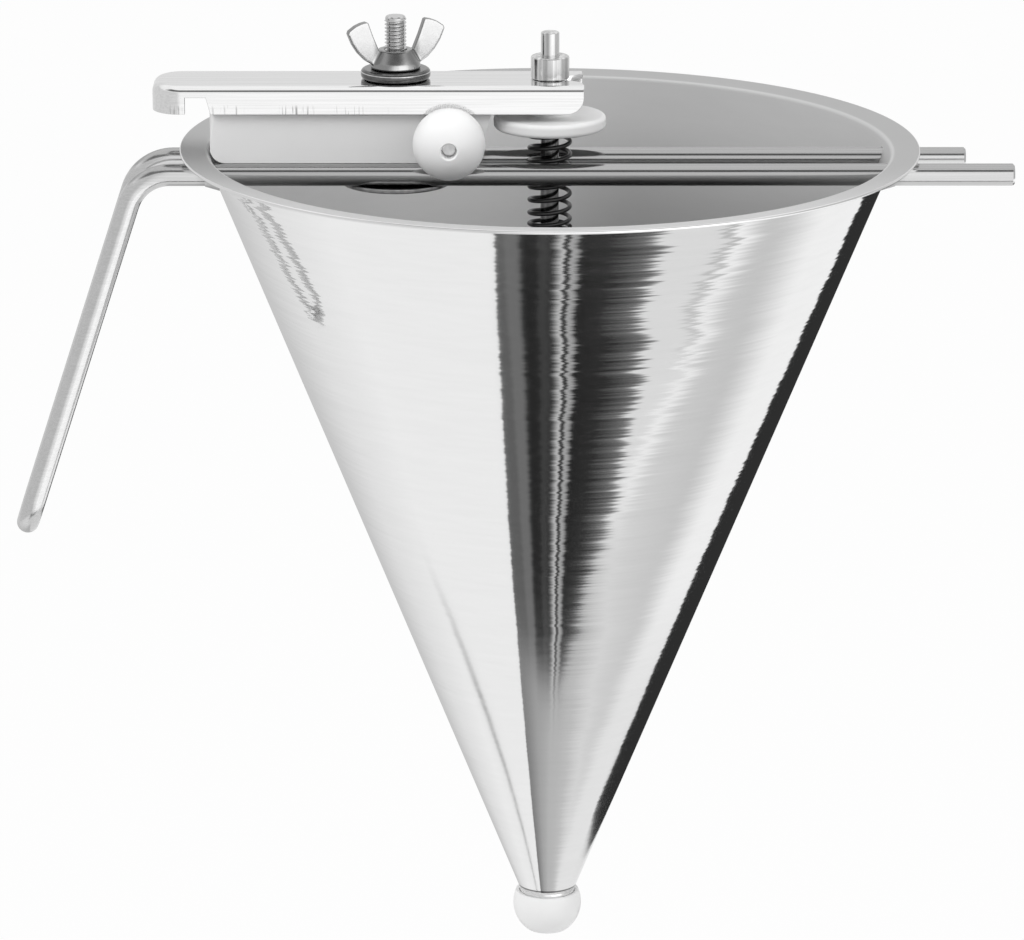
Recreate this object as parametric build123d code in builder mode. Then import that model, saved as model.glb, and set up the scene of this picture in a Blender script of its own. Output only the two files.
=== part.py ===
from build123d import *
import os
from math import cos, pi, radians, sin, sqrt, tan

os.makedirs("parts", exist_ok=True)

# Driving sizes in millimetres. The origin is the centre of the rim, +Z is up, +X runs along the rod legs.
rim_radius = 100.0
cone_sheet = 1.0
lip_width = 7.0
lip_rise = 0.7
cone_depth = 213.5
neck_radius = 7.75
rod_radius = 3.0
rod_half_gap = 10.0
rod_drop = 6.2
lever_height = 18.2
lever_sheet = 1.5
lever_half_width = 11.5
pivot_x = -27.2
pivot_z = 4.6
bolt_x = -41.6
bolt_radius = 3.0
stem_radius = 2.5
lever_swing = 5.0

# Clearances
running_gap = 0.05
slip_gap = 0.1
side_gap = 0.5
seat_gap = 0.3
bolt_gap = 0.2
clip_gap = 0.2
knob_gap = 0.25

# Funnel cone
cone_top_radius = rim_radius - lip_width
lip_slope = lip_rise / lip_width
cone_slope = (cone_top_radius - neck_radius) / (cone_depth - lip_rise - cone_sheet)
cone_wall = cone_sheet * sqrt(1 + cone_slope * cone_slope)
lip_under = -cone_sheet
lip_edge_round = 0.35
lip_bend_round = 1.2
rod_z = -rod_drop
rod_hole_radius = rod_radius + slip_gap
wall_radius = neck_radius + (rod_z + cone_depth) * cone_slope
wall_x = sqrt(wall_radius * wall_radius - rod_half_gap * rod_half_gap)


def cone_meets_lip(cone_radius, lip_z):
    """Radius and height where a cone line and a lip line cross."""
    base = cone_radius + cone_depth * cone_slope
    height = (lip_z + (base - rim_radius) * lip_slope) / (1 - cone_slope * lip_slope)
    return base + height * cone_slope, height


bend_under = cone_meets_lip(neck_radius, lip_under)
bend_top = cone_meets_lip(neck_radius - cone_wall, 0)
with BuildPart() as funnel_cone:
    with BuildSketch(Plane.XZ) as cone_profile:
        with BuildLine():
            Polyline(
                (neck_radius - cone_wall, -cone_depth),
                (neck_radius, -cone_depth),
                bend_under,
                (rim_radius, lip_under),
                (rim_radius, 0),
                bend_top,
                close=True,
            )
        make_face()
        fillet(cone_profile.vertices().sort_by_distance(bend_top)[0], lip_bend_round)
        fillet(cone_profile.vertices().sort_by_distance(bend_under)[0], lip_bend_round - lip_edge_round)
        fillet(cone_profile.vertices().sort_by(Axis.X)[-2:], lip_edge_round)
    revolve(axis=Axis.Z)
    with Locations((0, rod_half_gap, rod_z), (0, -rod_half_gap, rod_z)):
        Cylinder(rod_hole_radius, 2 * rim_radius, rotation=(0, 90, 0), mode=Mode.SUBTRACT)
funnel_cone.part.label = "funnel_cone"
export_step(funnel_cone.part, "parts/funnel_cone.step")

# Outlet neck, butted to the small end of the cone
neck_wall = 0.8
neck_length = 6.0
neck_end_z = -cone_depth - neck_length
with BuildPart() as outlet_neck:
    with BuildSketch(Plane.XY.offset(neck_end_z)):
        Circle(neck_radius)
        Circle(neck_radius - neck_wall, mode=Mode.SUBTRACT)
    extrude(amount=neck_length)
outlet_neck.part.label = "outlet_neck"
export_step(outlet_neck.part, "parts/outlet_neck.step")

# Outlet nozzle, a bulb with a socket, a conical seat and the outlet bore
bulb_radius = 9.5
bulb_drop = 4.7
bulb_rim_drop = 0.9
bulb_mouth_drop = 7.8
bulb_z = -cone_depth - bulb_drop
bulb_rim_z = -cone_depth - bulb_rim_drop
bulb_mouth_z = bulb_z - bulb_mouth_drop
socket_radius = neck_radius + running_gap
outlet_radius = 2.25
seat_top_radius = neck_radius - neck_wall
seat_top_z = neck_end_z - running_gap
seat_depth = 3.4
seat_low_z = seat_top_z - seat_depth
seat_slope = (seat_top_radius - outlet_radius) / seat_depth
bulb_rim_radius = sqrt(bulb_radius**2 - (bulb_rim_z - bulb_z) ** 2)
bulb_mouth_radius = sqrt(bulb_radius**2 - (bulb_mouth_z - bulb_z) ** 2)
bulb_edge_round = 0.25
bulb_toe_round = 1.6
with BuildPart() as outlet_nozzle:
    with BuildSketch(Plane.XZ) as bulb_profile:
        with BuildLine():
            Polyline(
                (bulb_rim_radius, bulb_rim_z),
                (socket_radius, bulb_rim_z),
                (socket_radius, seat_top_z),
                (seat_top_radius, seat_top_z),
                (outlet_radius, seat_low_z),
                (outlet_radius, bulb_mouth_z),
                (bulb_mouth_radius, bulb_mouth_z),
            )
            ThreePointArc(
                (bulb_mouth_radius, bulb_mouth_z), (bulb_radius, bulb_z), (bulb_rim_radius, bulb_rim_z)
            )
        make_face()
        fillet(bulb_profile.vertices().sort_by_distance((bulb_rim_radius, bulb_rim_z))[0], bulb_edge_round)
        fillet(bulb_profile.vertices().sort_by_distance((bulb_mouth_radius, bulb_mouth_z))[0], bulb_toe_round)
    revolve(axis=Axis.Z)
outlet_nozzle.part.label = "outlet_nozzle"
export_step(outlet_nozzle.part, "parts/outlet_nozzle.step")

# Carrying handle, one rod bent into two legs and a looped grip
front_leg_reach = 25.0
back_leg_reach = 13.5
grip_stand_off = 11.0
grip_lean = 18.0
grip_reach = 105.0
grip_bend = 12.0
rod_end_chamfer = 0.5
front_leg_end = rim_radius + front_leg_reach
back_leg_end = rim_radius + back_leg_reach
grip_corner_x = -rim_radius - grip_stand_off
lean_x = -sin(radians(grip_lean))
lean_z = -cos(radians(grip_lean))
bend_run = grip_bend * tan(radians((90 - grip_lean) / 2))
grip_straight = grip_reach - rod_half_gap
bend_start = (grip_corner_x + bend_run, rod_z)
bend_end = (grip_corner_x + bend_run * lean_x, rod_z + bend_run * lean_z)
loop_start = (grip_corner_x + grip_straight * lean_x, rod_z + grip_straight * lean_z)


def beside(point, y):
    """A point of the side view, set at a distance y from the middle plane."""
    return (point[0], y, point[1])


with BuildPart() as carrying_handle:
    with BuildLine() as rod_route:
        Line((front_leg_end, -rod_half_gap, rod_z), beside(bend_start, -rod_half_gap))
        TangentArc(beside(bend_start, -rod_half_gap), beside(bend_end, -rod_half_gap), tangent=(-1, 0, 0))
        Line(beside(bend_end, -rod_half_gap), beside(loop_start, -rod_half_gap))
        TangentArc(
            beside(loop_start, -rod_half_gap), beside(loop_start, rod_half_gap), tangent=(lean_x, 0, lean_z)
        )
        Line(beside(loop_start, rod_half_gap), beside(bend_end, rod_half_gap))
        TangentArc(
            beside(bend_end, rod_half_gap), beside(bend_start, rod_half_gap), tangent=(-lean_x, 0, -lean_z)
        )
        Line(beside(bend_start, rod_half_gap), (back_leg_end, rod_half_gap, rod_z))
    with BuildSketch(Plane(origin=rod_route.line @ 0, z_dir=rod_route.line % 0)):
        Circle(rod_radius)
    sweep()
    chamfer(carrying_handle.edges().filter_by(GeomType.CIRCLE).sort_by(Axis.X)[-1], rod_end_chamfer)
    chamfer(
        carrying_handle.edges().filter_by(GeomType.CIRCLE).filter_by_position(
            Axis.X, back_leg_end - running_gap, back_leg_end + running_gap
        ),
        rod_end_chamfer,
    )
carrying_handle.part.label = "carrying_handle"
export_step(carrying_handle.part, "parts/carrying_handle.step")

# Weld beads where the rod passes the cone wall
bead_root = 4.4
bead_toe_step = 0.2
bead_toe = rod_radius + bead_toe_step
bead_inside = 2.0
bead_outside = 2.2
with BuildPart() as rod_welds:
    for side in (-1, 1):
        for y in (-rod_half_gap, rod_half_gap):
            with Locations(Location((side * (wall_x - bead_inside), y, rod_z), (0, side * 90, 0))):
                Cone(
                    bead_root,
                    bead_toe,
                    bead_inside + bead_outside,
                    align=(Align.CENTER, Align.CENTER, Align.MIN),
                )
    with BuildSketch(Plane.XZ):
        with BuildLine():
            Polyline(
                (0, -cone_depth),
                (neck_radius + running_gap, -cone_depth),
                (neck_radius + running_gap + cone_depth * cone_slope, 0),
                (0, 0),
                close=True,
            )
        make_face()
    revolve(axis=Axis.Z, mode=Mode.SUBTRACT)
    with Locations((0, rod_half_gap, rod_z), (0, -rod_half_gap, rod_z)):
        Cylinder(rod_radius + running_gap, 2.5 * rim_radius, rotation=(0, 90, 0), mode=Mode.SUBTRACT)
rod_welds.part.label = "rod_welds"
export_step(rod_welds.part, "parts/rod_welds.step")

# Bearing block on the two rod legs
block_half_width = lever_half_width - lever_sheet - side_gap
block_bottom_z = rod_z + sqrt(rod_radius**2 - (rod_half_gap - block_half_width) ** 2) + running_gap
lever_under_z = lever_height - lever_sheet
block_top_z = lever_under_z - side_gap
block_wall_gap = 1.5
block_left_x = block_wall_gap - cone_top_radius
block_low_round = 4.0
block_edge_round = 1.5
block_right_x = -14.2
block_right_lean = 15.3
block_left_z = block_top_z - (pivot_x - block_left_x) * tan(radians(lever_swing))
block_right_low_x = block_right_x - (block_top_z - block_bottom_z) * tan(radians(block_right_lean))
pin_radius = 2.0
pin_bore_radius = pin_radius + running_gap
bolt_hole_radius = bolt_radius + bolt_gap
recess_radius = 6.4
recess_floor_z = 2.0
with BuildPart() as bearing_block:
    with BuildSketch(Plane.XZ) as block_side:
        with BuildLine():
            Polyline(
                (block_left_x, block_bottom_z),
                (block_right_low_x, block_bottom_z),
                (block_right_x, block_top_z),
                (pivot_x, block_top_z),
                (block_left_x, block_left_z),
                close=True,
            )
        make_face()
        fillet(block_side.vertices().sort_by_distance((block_left_x, block_bottom_z))[0], block_low_round)
    extrude(amount=block_half_width, both=True)
    fillet(
        bearing_block.edges().filter_by(Axis.Z).filter_by_position(
            Axis.X, block_left_x - running_gap, block_left_x + running_gap
        ),
        block_edge_round,
    )
    with Locations((pivot_x, 0, pivot_z)):
        Cylinder(pin_bore_radius, 4 * block_half_width, rotation=(90, 0, 0), mode=Mode.SUBTRACT)
    with Locations((bolt_x, 0, block_bottom_z)):
        Cylinder(bolt_hole_radius, 4 * block_top_z, mode=Mode.SUBTRACT)
    with Locations((bolt_x, 0, recess_floor_z)):
        Cylinder(
            recess_radius, block_top_z, align=(Align.CENTER, Align.CENTER, Align.MIN), mode=Mode.SUBTRACT
        )
bearing_block.part.label = "bearing_block"
export_step(bearing_block.part, "parts/bearing_block.step")

# Clamp washer under the rods
clamp_radius = 15.0
clamp_thickness = 1.2
clamp_top_z = rod_z - rod_radius - running_gap
clamp_edge = 0.2
with BuildPart() as clamp_washer:
    with BuildSketch(Plane.XY.offset(clamp_top_z - clamp_thickness)):
        with Locations((bolt_x, 0)):
            Circle(clamp_radius)
            Circle(bolt_hole_radius, mode=Mode.SUBTRACT)
    extrude(amount=clamp_thickness)
    chamfer(clamp_washer.edges().filter_by(GeomType.CIRCLE).sort_by(SortBy.RADIUS)[-2:], clamp_edge)
clamp_washer.part.label = "clamp_washer"
export_step(clamp_washer.part, "parts/clamp_washer.step")

# Clamp bolt with a low round head
bolt_head_radius = 5.0
bolt_head_height = 1.5
bolt_top_z = 35.4
bolt_tip_chamfer = 0.6
bolt_seat_z = clamp_top_z - clamp_thickness
with BuildPart() as clamp_bolt:
    with Locations((bolt_x, 0, bolt_seat_z - bolt_head_height)):
        Cylinder(bolt_head_radius, bolt_head_height, align=(Align.CENTER, Align.CENTER, Align.MIN))
        Cylinder(
            bolt_radius,
            bolt_top_z - bolt_seat_z + bolt_head_height,
            align=(Align.CENTER, Align.CENTER, Align.MIN),
        )
    chamfer(clamp_bolt.edges().filter_by(GeomType.CIRCLE).sort_by(Axis.Z)[-1], bolt_tip_chamfer)
clamp_bolt.part.label = "clamp_bolt"
export_step(clamp_bolt.part, "parts/clamp_bolt.step")

# Clamp nut in the recess of the block
nut_inner_radius = 5.0
nut_height = 5.0
nut_bore_radius = bolt_radius + running_gap
with BuildPart() as clamp_nut:
    with BuildSketch(Plane.XY.offset(recess_floor_z)):
        with Locations((bolt_x, 0)):
            RegularPolygon(nut_inner_radius, 6, major_radius=False)
            Circle(nut_bore_radius, mode=Mode.SUBTRACT)
    extrude(amount=nut_height)
clamp_nut.part.label = "clamp_nut"
export_step(clamp_nut.part, "parts/clamp_nut.step")


# Springs: a coil of even turns that lie closer at both ends, drawn with pairs of arcs over quarter turns
def coil_height(u, turns, rise, end_pitch):
    """Height of the wire's centre line at the share u of all turns."""
    mid_pitch = (rise / turns - end_pitch / 7) * 7 / 6
    return turns * (mid_pitch * u - (mid_pitch - end_pitch) * ((2 * u - 1) ** 7 + 1) / 14)


def coil_pitch(u, turns, rise, end_pitch):
    """Rise per turn at the share u of all turns."""
    mid_pitch = (rise / turns - end_pitch / 7) * 7 / 6
    return mid_pitch - (mid_pitch - end_pitch) * (2 * u - 1) ** 6


def coil_node(u, x, low_z, radius, turns, rise, end_pitch):
    """Point of the centre line and its direction."""
    turn = 2 * pi * turns * u
    point = Vector(x + radius * cos(turn), radius * sin(turn), low_z + coil_height(u, turns, rise, end_pitch))
    climb = coil_pitch(u, turns, rise, end_pitch) / (2 * pi)
    way = Vector(-radius * sin(turn), radius * cos(turn), climb).normalized()
    return point, way


def arc_middle(start, corner, end, reach):
    """Middle of the arc from start to end whose end tangents meet in the corner."""
    half = (start + end) * 0.5
    share = (end - start).length / (2 * reach)
    return half + (corner - half) * (share / (1 + share))


def draw_arc_pair(start, start_way, end, end_way):
    """Two arcs that join both points in the given directions."""
    chord = end - start
    ways = start_way + end_way
    turn = 2 * (1 - start_way.dot(end_way))
    lean = chord.dot(ways)
    reach = (sqrt(lean * lean + turn * chord.dot(chord)) - lean) / turn
    first_corner = start + start_way * reach
    last_corner = end - end_way * reach
    joint = (first_corner + last_corner) * 0.5
    ThreePointArc(start, arc_middle(start, first_corner, joint, reach), joint)
    ThreePointArc(joint, arc_middle(joint, last_corner, end, reach), end)


def coil_gap(radius, turns, rise, end_pitch, wire):
    """Least gap between neighbouring turns, measured on points of the centre line."""
    turn_points = 48
    same_turn = 0.625
    count = int(turns * turn_points)
    skipped = int(turn_points * same_turn)
    line = [coil_node(i / count, 0, 0, radius, turns, rise, end_pitch)[0] for i in range(count + 1)]
    least = rise
    for i, point in enumerate(line):
        for other in line[i + skipped :]:
            least = min(least, (other - point).length)
    return least - 2 * wire


# Return spring between the clamp nut and the lever
return_wire = 0.5
return_radius = 5.2
return_quarters = 13
return_end_pitch = 1.2
return_low_z = recess_floor_z + nut_height + running_gap
return_turns = return_quarters / 4
return_rise = lever_under_z - running_gap - return_low_z - 2 * return_wire
with BuildPart() as return_spring:
    with BuildLine() as return_route:
        for i in range(return_quarters):
            here = coil_node(
                i / return_quarters,
                bolt_x,
                return_low_z + return_wire,
                return_radius,
                return_turns,
                return_rise,
                return_end_pitch,
            )
            there = coil_node(
                (i + 1) / return_quarters,
                bolt_x,
                return_low_z + return_wire,
                return_radius,
                return_turns,
                return_rise,
                return_end_pitch,
            )
            draw_arc_pair(here[0], here[1], there[0], there[1])
    with BuildSketch(Plane(origin=return_route.line @ 0, z_dir=return_route.line % 0)):
        Circle(return_wire)
    sweep()
return_gap = coil_gap(return_radius, return_turns, return_rise, return_end_pitch, return_wire)
print(f"return spring gap {return_gap:.2f}")
return_spring.part.label = "return_spring"
export_step(return_spring.part, "parts/return_spring.step")

# Thumb lever: a folded channel with a closed thumb end, side notches, ears and a forked end
tab_overhang = 7.0
lever_left_x = -rim_radius - tab_overhang
lever_right_x = 8.9
lever_low_z = 10.6
lever_corner = 8.0
lever_fold = 2.5
tab_length = 9.0
notch_width = 7.0
notch_left_x = lever_left_x + tab_length
notch_right_x = notch_left_x + notch_width
notch_top_z = 15.2
notch_slant = 1.4
fork_half_width = 3.0
fork_centre_x = -0.9
fork_round = 4.5
fork_mouth_round = 5.0
ear_half_width = 4.5
bolt_slot_length = 9.5
bolt_slot_width = 7.0
bolt_slot_shift = 0.6
bolt_slot_x = bolt_x + bolt_slot_shift
lever_length = lever_right_x - lever_left_x
with BuildPart() as thumb_lever:
    with BuildSketch(Plane.XY.offset(lever_low_z)) as lever_plan:
        with Locations((lever_left_x + lever_length / 2, 0)):
            Rectangle(lever_length, 2 * lever_half_width)
        fillet(lever_plan.vertices().group_by(Axis.X)[0], lever_corner)
    extrude(amount=lever_height - lever_low_z)
    fillet(thumb_lever.faces().sort_by(Axis.Z)[-1].edges().sort_by(Axis.X)[:-1], lever_fold)
    offset(
        amount=-lever_sheet,
        openings=[thumb_lever.faces().sort_by(Axis.Z)[0], thumb_lever.faces().sort_by(Axis.X)[-1]],
    )
    with BuildSketch(Plane.XZ):
        with BuildLine():
            Polyline(
                (notch_left_x, notch_top_z),
                (notch_right_x - notch_slant, notch_top_z),
                (notch_right_x, lever_low_z - side_gap),
                (notch_left_x, lever_low_z - side_gap),
                close=True,
            )
        make_face()
    extrude(amount=2 * lever_half_width, both=True, mode=Mode.SUBTRACT)
    with BuildSketch(Plane.XY.offset(lever_under_z - side_gap)):
        with Locations((fork_centre_x, 0)):
            Circle(fork_half_width)
            Rectangle(2 * lever_right_x, 2 * fork_half_width, align=(Align.MIN, Align.CENTER))
        with Locations((bolt_slot_x, 0)):
            SlotOverall(bolt_slot_length, bolt_slot_width)
    extrude(amount=lever_sheet + 2 * side_gap, mode=Mode.SUBTRACT)
    fillet(
        thumb_lever.edges()
        .filter_by(Axis.Y)
        .filter_by_position(Axis.X, lever_right_x - running_gap, lever_right_x + running_gap)
        .filter_by_position(Axis.Z, lever_low_z - running_gap, lever_low_z + running_gap),
        fork_round,
    )
    fillet(
        thumb_lever.edges()
        .filter_by(Axis.Z)
        .filter_by_position(Axis.X, lever_right_x - running_gap, lever_right_x + running_gap)
        .filter_by_position(Axis.Y, -fork_half_width - running_gap, fork_half_width + running_gap),
        fork_mouth_round,
    )
    for face_y in (-lever_half_width + lever_sheet, lever_half_width):
        with BuildSketch(Plane.XZ.offset(-face_y)):
            with Locations((pivot_x, pivot_z)):
                Circle(ear_half_width)
                Rectangle(
                    2 * ear_half_width,
                    lever_low_z + side_gap - pivot_z,
                    align=(Align.CENTER, Align.MIN),
                )
                Circle(pin_radius + running_gap / 2, mode=Mode.SUBTRACT)
        extrude(amount=lever_sheet)
thumb_lever.part.label = "thumb_lever"
export_step(thumb_lever.part, "parts/thumb_lever.step")

# Pivot pin, ball knob and pin clip
ball_radius = 9.7
ball_back_y = -lever_half_width - knob_gap
ball_flat_radius = 3.6
ball_y = ball_back_y - sqrt(ball_radius**2 - ball_flat_radius**2)
ball_bore_radius = pin_radius + running_gap
pin_reach = 6.0
pin_front_y = ball_y - pin_reach
clip_thickness = 1.2
clip_front_y = lever_half_width + clip_gap
clip_radius = 4.5
pin_tail = 0.7
pin_back_y = clip_front_y + clip_thickness + pin_tail
pin_chamfer = 0.4
with BuildPart() as pivot_pin:
    with Locations((pivot_x, pin_back_y, pivot_z)):
        Cylinder(
            pin_radius,
            pin_back_y - pin_front_y,
            rotation=(90, 0, 0),
            align=(Align.CENTER, Align.CENTER, Align.MIN),
        )
    chamfer(pivot_pin.edges().filter_by(GeomType.CIRCLE), pin_chamfer)
pivot_pin.part.label = "pivot_pin"
export_step(pivot_pin.part, "parts/pivot_pin.step")

with BuildPart() as ball_knob:
    with Locations((pivot_x, ball_y, pivot_z)):
        Sphere(ball_radius)
    with Locations((pivot_x, ball_back_y, pivot_z)):
        Box(
            2 * ball_radius,
            ball_radius,
            2 * ball_radius,
            align=(Align.CENTER, Align.MIN, Align.CENTER),
            mode=Mode.SUBTRACT,
        )
    with Locations((pivot_x, ball_y, pivot_z)):
        Cylinder(ball_bore_radius, 3 * ball_radius, rotation=(90, 0, 0), mode=Mode.SUBTRACT)
ball_knob.part.label = "ball_knob"
export_step(ball_knob.part, "parts/ball_knob.step")

with BuildPart() as pin_clip:
    with BuildSketch(Plane.XZ.offset(-clip_front_y - clip_thickness)):
        with Locations((pivot_x, pivot_z)):
            Circle(clip_radius)
            Circle(pin_radius + running_gap / 2, mode=Mode.SUBTRACT)
    extrude(amount=clip_thickness)
    chamfer(pin_clip.edges().filter_by(GeomType.CIRCLE).sort_by(SortBy.RADIUS)[-2:], clamp_edge)
pin_clip.part.label = "pin_clip"
export_step(pin_clip.part, "parts/pin_clip.step")

# Valve stem with its collar, plug and lower spring seat
collar_low_z = lever_height + running_gap
collar_height = 6.2
collar_radius = 5.2
collar_edge = 0.6
stem_top_z = 31.0
stem_edge = 0.5
plug_lift = seat_gap * sqrt(1 + seat_slope**2) / seat_slope
plug_tip_radius = 2.0
plug_radius = 5.5
plug_tip_z = seat_low_z + plug_lift - (outlet_radius - plug_tip_radius) / seat_slope
plug_cone_z = seat_low_z + plug_lift + (plug_radius - outlet_radius) / seat_slope
plug_height = 9.0
plug_top_z = plug_cone_z + plug_height
plug_edge = 0.8
stem_end_z = plug_cone_z
stem_fit = running_gap / 2
disc_low_z = 4.6
spring_collar_radius = 5.75
spring_collar_height = 6.0
spring_length = 28.0
spring_collar_top_z = disc_low_z - spring_length - 2 * running_gap
spring_collar_mid_z = spring_collar_top_z - spring_collar_height / 2
cross_pin_radius = 1.0
with BuildPart() as valve_stem:
    with Locations((0, 0, stem_end_z)):
        Cylinder(stem_radius, stem_top_z - stem_end_z, align=(Align.CENTER, Align.CENTER, Align.MIN))
    chamfer(valve_stem.edges().filter_by(GeomType.CIRCLE).sort_by(Axis.Z)[-1], stem_edge)
    with Locations((0, 0, spring_collar_mid_z)):
        Cylinder(
            cross_pin_radius + stem_fit, 4 * stem_radius, rotation=(90, 0, 0), mode=Mode.SUBTRACT
        )
valve_stem.part.label = "valve_stem"
export_step(valve_stem.part, "parts/valve_stem.step")

grub_radius = 1.5
grub_z = collar_low_z + collar_height / 2
grub_recess = 0.6
grub_socket = 0.75
grub_socket_depth = 1.0
with BuildPart() as stem_collar:
    with BuildSketch(Plane.XY.offset(collar_low_z)):
        Circle(collar_radius)
        Circle(stem_radius + stem_fit, mode=Mode.SUBTRACT)
    extrude(amount=collar_height)
    chamfer(stem_collar.edges().filter_by(GeomType.CIRCLE).sort_by(SortBy.RADIUS)[-2:], collar_edge)
    with Locations((0, stem_radius, grub_z)):
        Cylinder(
            grub_radius + stem_fit,
            collar_radius,
            rotation=(-90, 0, 0),
            align=(Align.CENTER, Align.CENTER, Align.MIN),
            mode=Mode.SUBTRACT,
        )
stem_collar.part.label = "stem_collar"
export_step(stem_collar.part, "parts/stem_collar.step")

grub_inner_y = stem_radius + stem_fit
grub_outer_y = collar_radius - grub_recess
with BuildPart() as grub_screw:
    with Locations((0, grub_inner_y, grub_z)):
        Cylinder(
            grub_radius,
            grub_outer_y - grub_inner_y,
            rotation=(-90, 0, 0),
            align=(Align.CENTER, Align.CENTER, Align.MIN),
        )
    with BuildSketch(Plane.XZ.offset(-grub_outer_y)):
        with Locations((0, grub_z)):
            RegularPolygon(grub_socket, 6, major_radius=False)
    extrude(amount=grub_socket_depth, mode=Mode.SUBTRACT)
grub_screw.part.label = "grub_screw"
export_step(grub_screw.part, "parts/grub_screw.step")

with BuildPart() as spring_collar:
    with BuildSketch(Plane.XY.offset(spring_collar_top_z - spring_collar_height)):
        Circle(spring_collar_radius)
        Circle(stem_radius + stem_fit, mode=Mode.SUBTRACT)
    extrude(amount=spring_collar_height)
    chamfer(spring_collar.edges().filter_by(GeomType.CIRCLE).sort_by(SortBy.RADIUS)[-2:], collar_edge)
    with Locations((0, 0, spring_collar_mid_z)):
        Cylinder(
            cross_pin_radius + stem_fit, 4 * spring_collar_radius, rotation=(90, 0, 0), mode=Mode.SUBTRACT
        )
spring_collar.part.label = "spring_collar"
export_step(spring_collar.part, "parts/spring_collar.step")

with BuildPart() as collar_pin:
    with Locations((0, 0, spring_collar_mid_z)):
        Cylinder(cross_pin_radius, 2 * spring_collar_radius - collar_edge, rotation=(90, 0, 0))
collar_pin.part.label = "collar_pin"
export_step(collar_pin.part, "parts/collar_pin.step")

with BuildPart() as valve_plug:
    with BuildSketch(Plane.XZ):
        with BuildLine():
            Polyline(
                (0, plug_tip_z),
                (plug_tip_radius, plug_tip_z),
                (plug_radius, plug_cone_z),
                (plug_radius, plug_top_z - plug_edge),
                (plug_radius - plug_edge, plug_top_z),
                (stem_radius + stem_fit, plug_top_z),
                (stem_radius + stem_fit, stem_end_z),
                (0, stem_end_z),
                close=True,
            )
        make_face()
    revolve(axis=Axis.Z)
valve_plug.part.label = "valve_plug"
export_step(valve_plug.part, "parts/valve_plug.step")

# Spring disc with the hub that bears on the lever from below
disc_radius = 15.2
disc_thickness = 3.7
disc_edge_round = 1.2
disc_hub_radius = 5.5
disc_hub_top_z = lever_under_z - running_gap
disc_bore_radius = stem_radius + slip_gap
with BuildPart() as spring_disc:
    with BuildSketch(Plane.XY.offset(disc_low_z)):
        Circle(disc_radius)
    extrude(amount=disc_thickness)
    fillet(spring_disc.edges().filter_by(GeomType.CIRCLE), disc_edge_round)
    with Locations((0, 0, disc_low_z)):
        Cylinder(disc_hub_radius, disc_hub_top_z - disc_low_z, align=(Align.CENTER, Align.CENTER, Align.MIN))
        Cylinder(disc_bore_radius, 4 * disc_hub_top_z, mode=Mode.SUBTRACT)
spring_disc.part.label = "spring_disc"
export_step(spring_disc.part, "parts/spring_disc.step")

# Valve spring between the disc and the lower collar
valve_wire = 0.6
valve_radius = 5.55
valve_quarters = 33
valve_end_pitch = 1.0
valve_turns = valve_quarters / 4
valve_low_z = spring_collar_top_z + running_gap
valve_rise = spring_length - 2 * valve_wire
with BuildPart() as valve_spring:
    with BuildLine() as valve_route:
        for i in range(valve_quarters):
            here = coil_node(
                i / valve_quarters,
                0,
                valve_low_z + valve_wire,
                valve_radius,
                valve_turns,
                valve_rise,
                valve_end_pitch,
            )
            there = coil_node(
                (i + 1) / valve_quarters,
                0,
                valve_low_z + valve_wire,
                valve_radius,
                valve_turns,
                valve_rise,
                valve_end_pitch,
            )
            draw_arc_pair(here[0], here[1], there[0], there[1])
    with BuildSketch(Plane(origin=valve_route.line @ 0, z_dir=valve_route.line % 0)):
        Circle(valve_wire)
    sweep()
valve_gap = coil_gap(valve_radius, valve_turns, valve_rise, valve_end_pitch, valve_wire)
print(f"valve spring gap {valve_gap:.2f}")
valve_spring.part.label = "valve_spring"
export_step(valve_spring.part, "parts/valve_spring.step")

# Nut washer and wing nut
washer_radius = 9.4
washer_thickness = 2.8
washer_low_z = lever_height + running_gap
washer_round = 0.9
with BuildPart() as nut_washer:
    with BuildSketch(Plane.XY.offset(washer_low_z)):
        with Locations((bolt_x, 0)):
            Circle(washer_radius)
    extrude(amount=washer_thickness)
    fillet(nut_washer.edges().filter_by(GeomType.CIRCLE), washer_round)
    with Locations((bolt_x, 0, washer_low_z)):
        Cylinder(bolt_hole_radius, 4 * washer_thickness, mode=Mode.SUBTRACT)
nut_washer.part.label = "nut_washer"
export_step(nut_washer.part, "parts/nut_washer.step")

hub_low_radius = 6.9
hub_top_radius = 4.6
hub_height = 5.2
hub_low_z = washer_low_z + washer_thickness + running_gap
wing_half_thickness = 1.1
wing_turn = 20.0
wing_root_low = (5.6, 0.7)
wing_belly = (10.8, 4.4)
wing_tip = (13.9, 10.0)
wing_crown = (11.6, 12.2)
wing_top = (8.3, 13.2)
wing_root_drop = 0.4
wing_root_top = (4.2, hub_height - wing_root_drop)
turn_cos = cos(radians(wing_turn))
turn_sin = sin(radians(wing_turn))
with BuildPart() as wing_nut:
    for side in (-1, 1):
        with BuildSketch(
            Plane(
                origin=(bolt_x, 0, hub_low_z),
                x_dir=(side * turn_cos, side * turn_sin, 0),
                z_dir=(side * turn_sin, -side * turn_cos, 0),
            )
        ):
            with BuildLine():
                ThreePointArc(wing_root_low, wing_belly, wing_tip)
                ThreePointArc(wing_tip, wing_crown, wing_top)
                Polyline(wing_top, wing_root_top, (0, wing_root_top[1]), (0, wing_root_low[1]), wing_root_low)
            make_face()
        extrude(amount=wing_half_thickness, both=True)
    with Locations((bolt_x, 0, hub_low_z)):
        Cone(hub_low_radius, hub_top_radius, hub_height, align=(Align.CENTER, Align.CENTER, Align.MIN))
        Cylinder(nut_bore_radius, 4 * hub_height, mode=Mode.SUBTRACT)
wing_nut.part.label = "wing_nut"
export_step(wing_nut.part, "parts/wing_nut.step")
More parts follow.
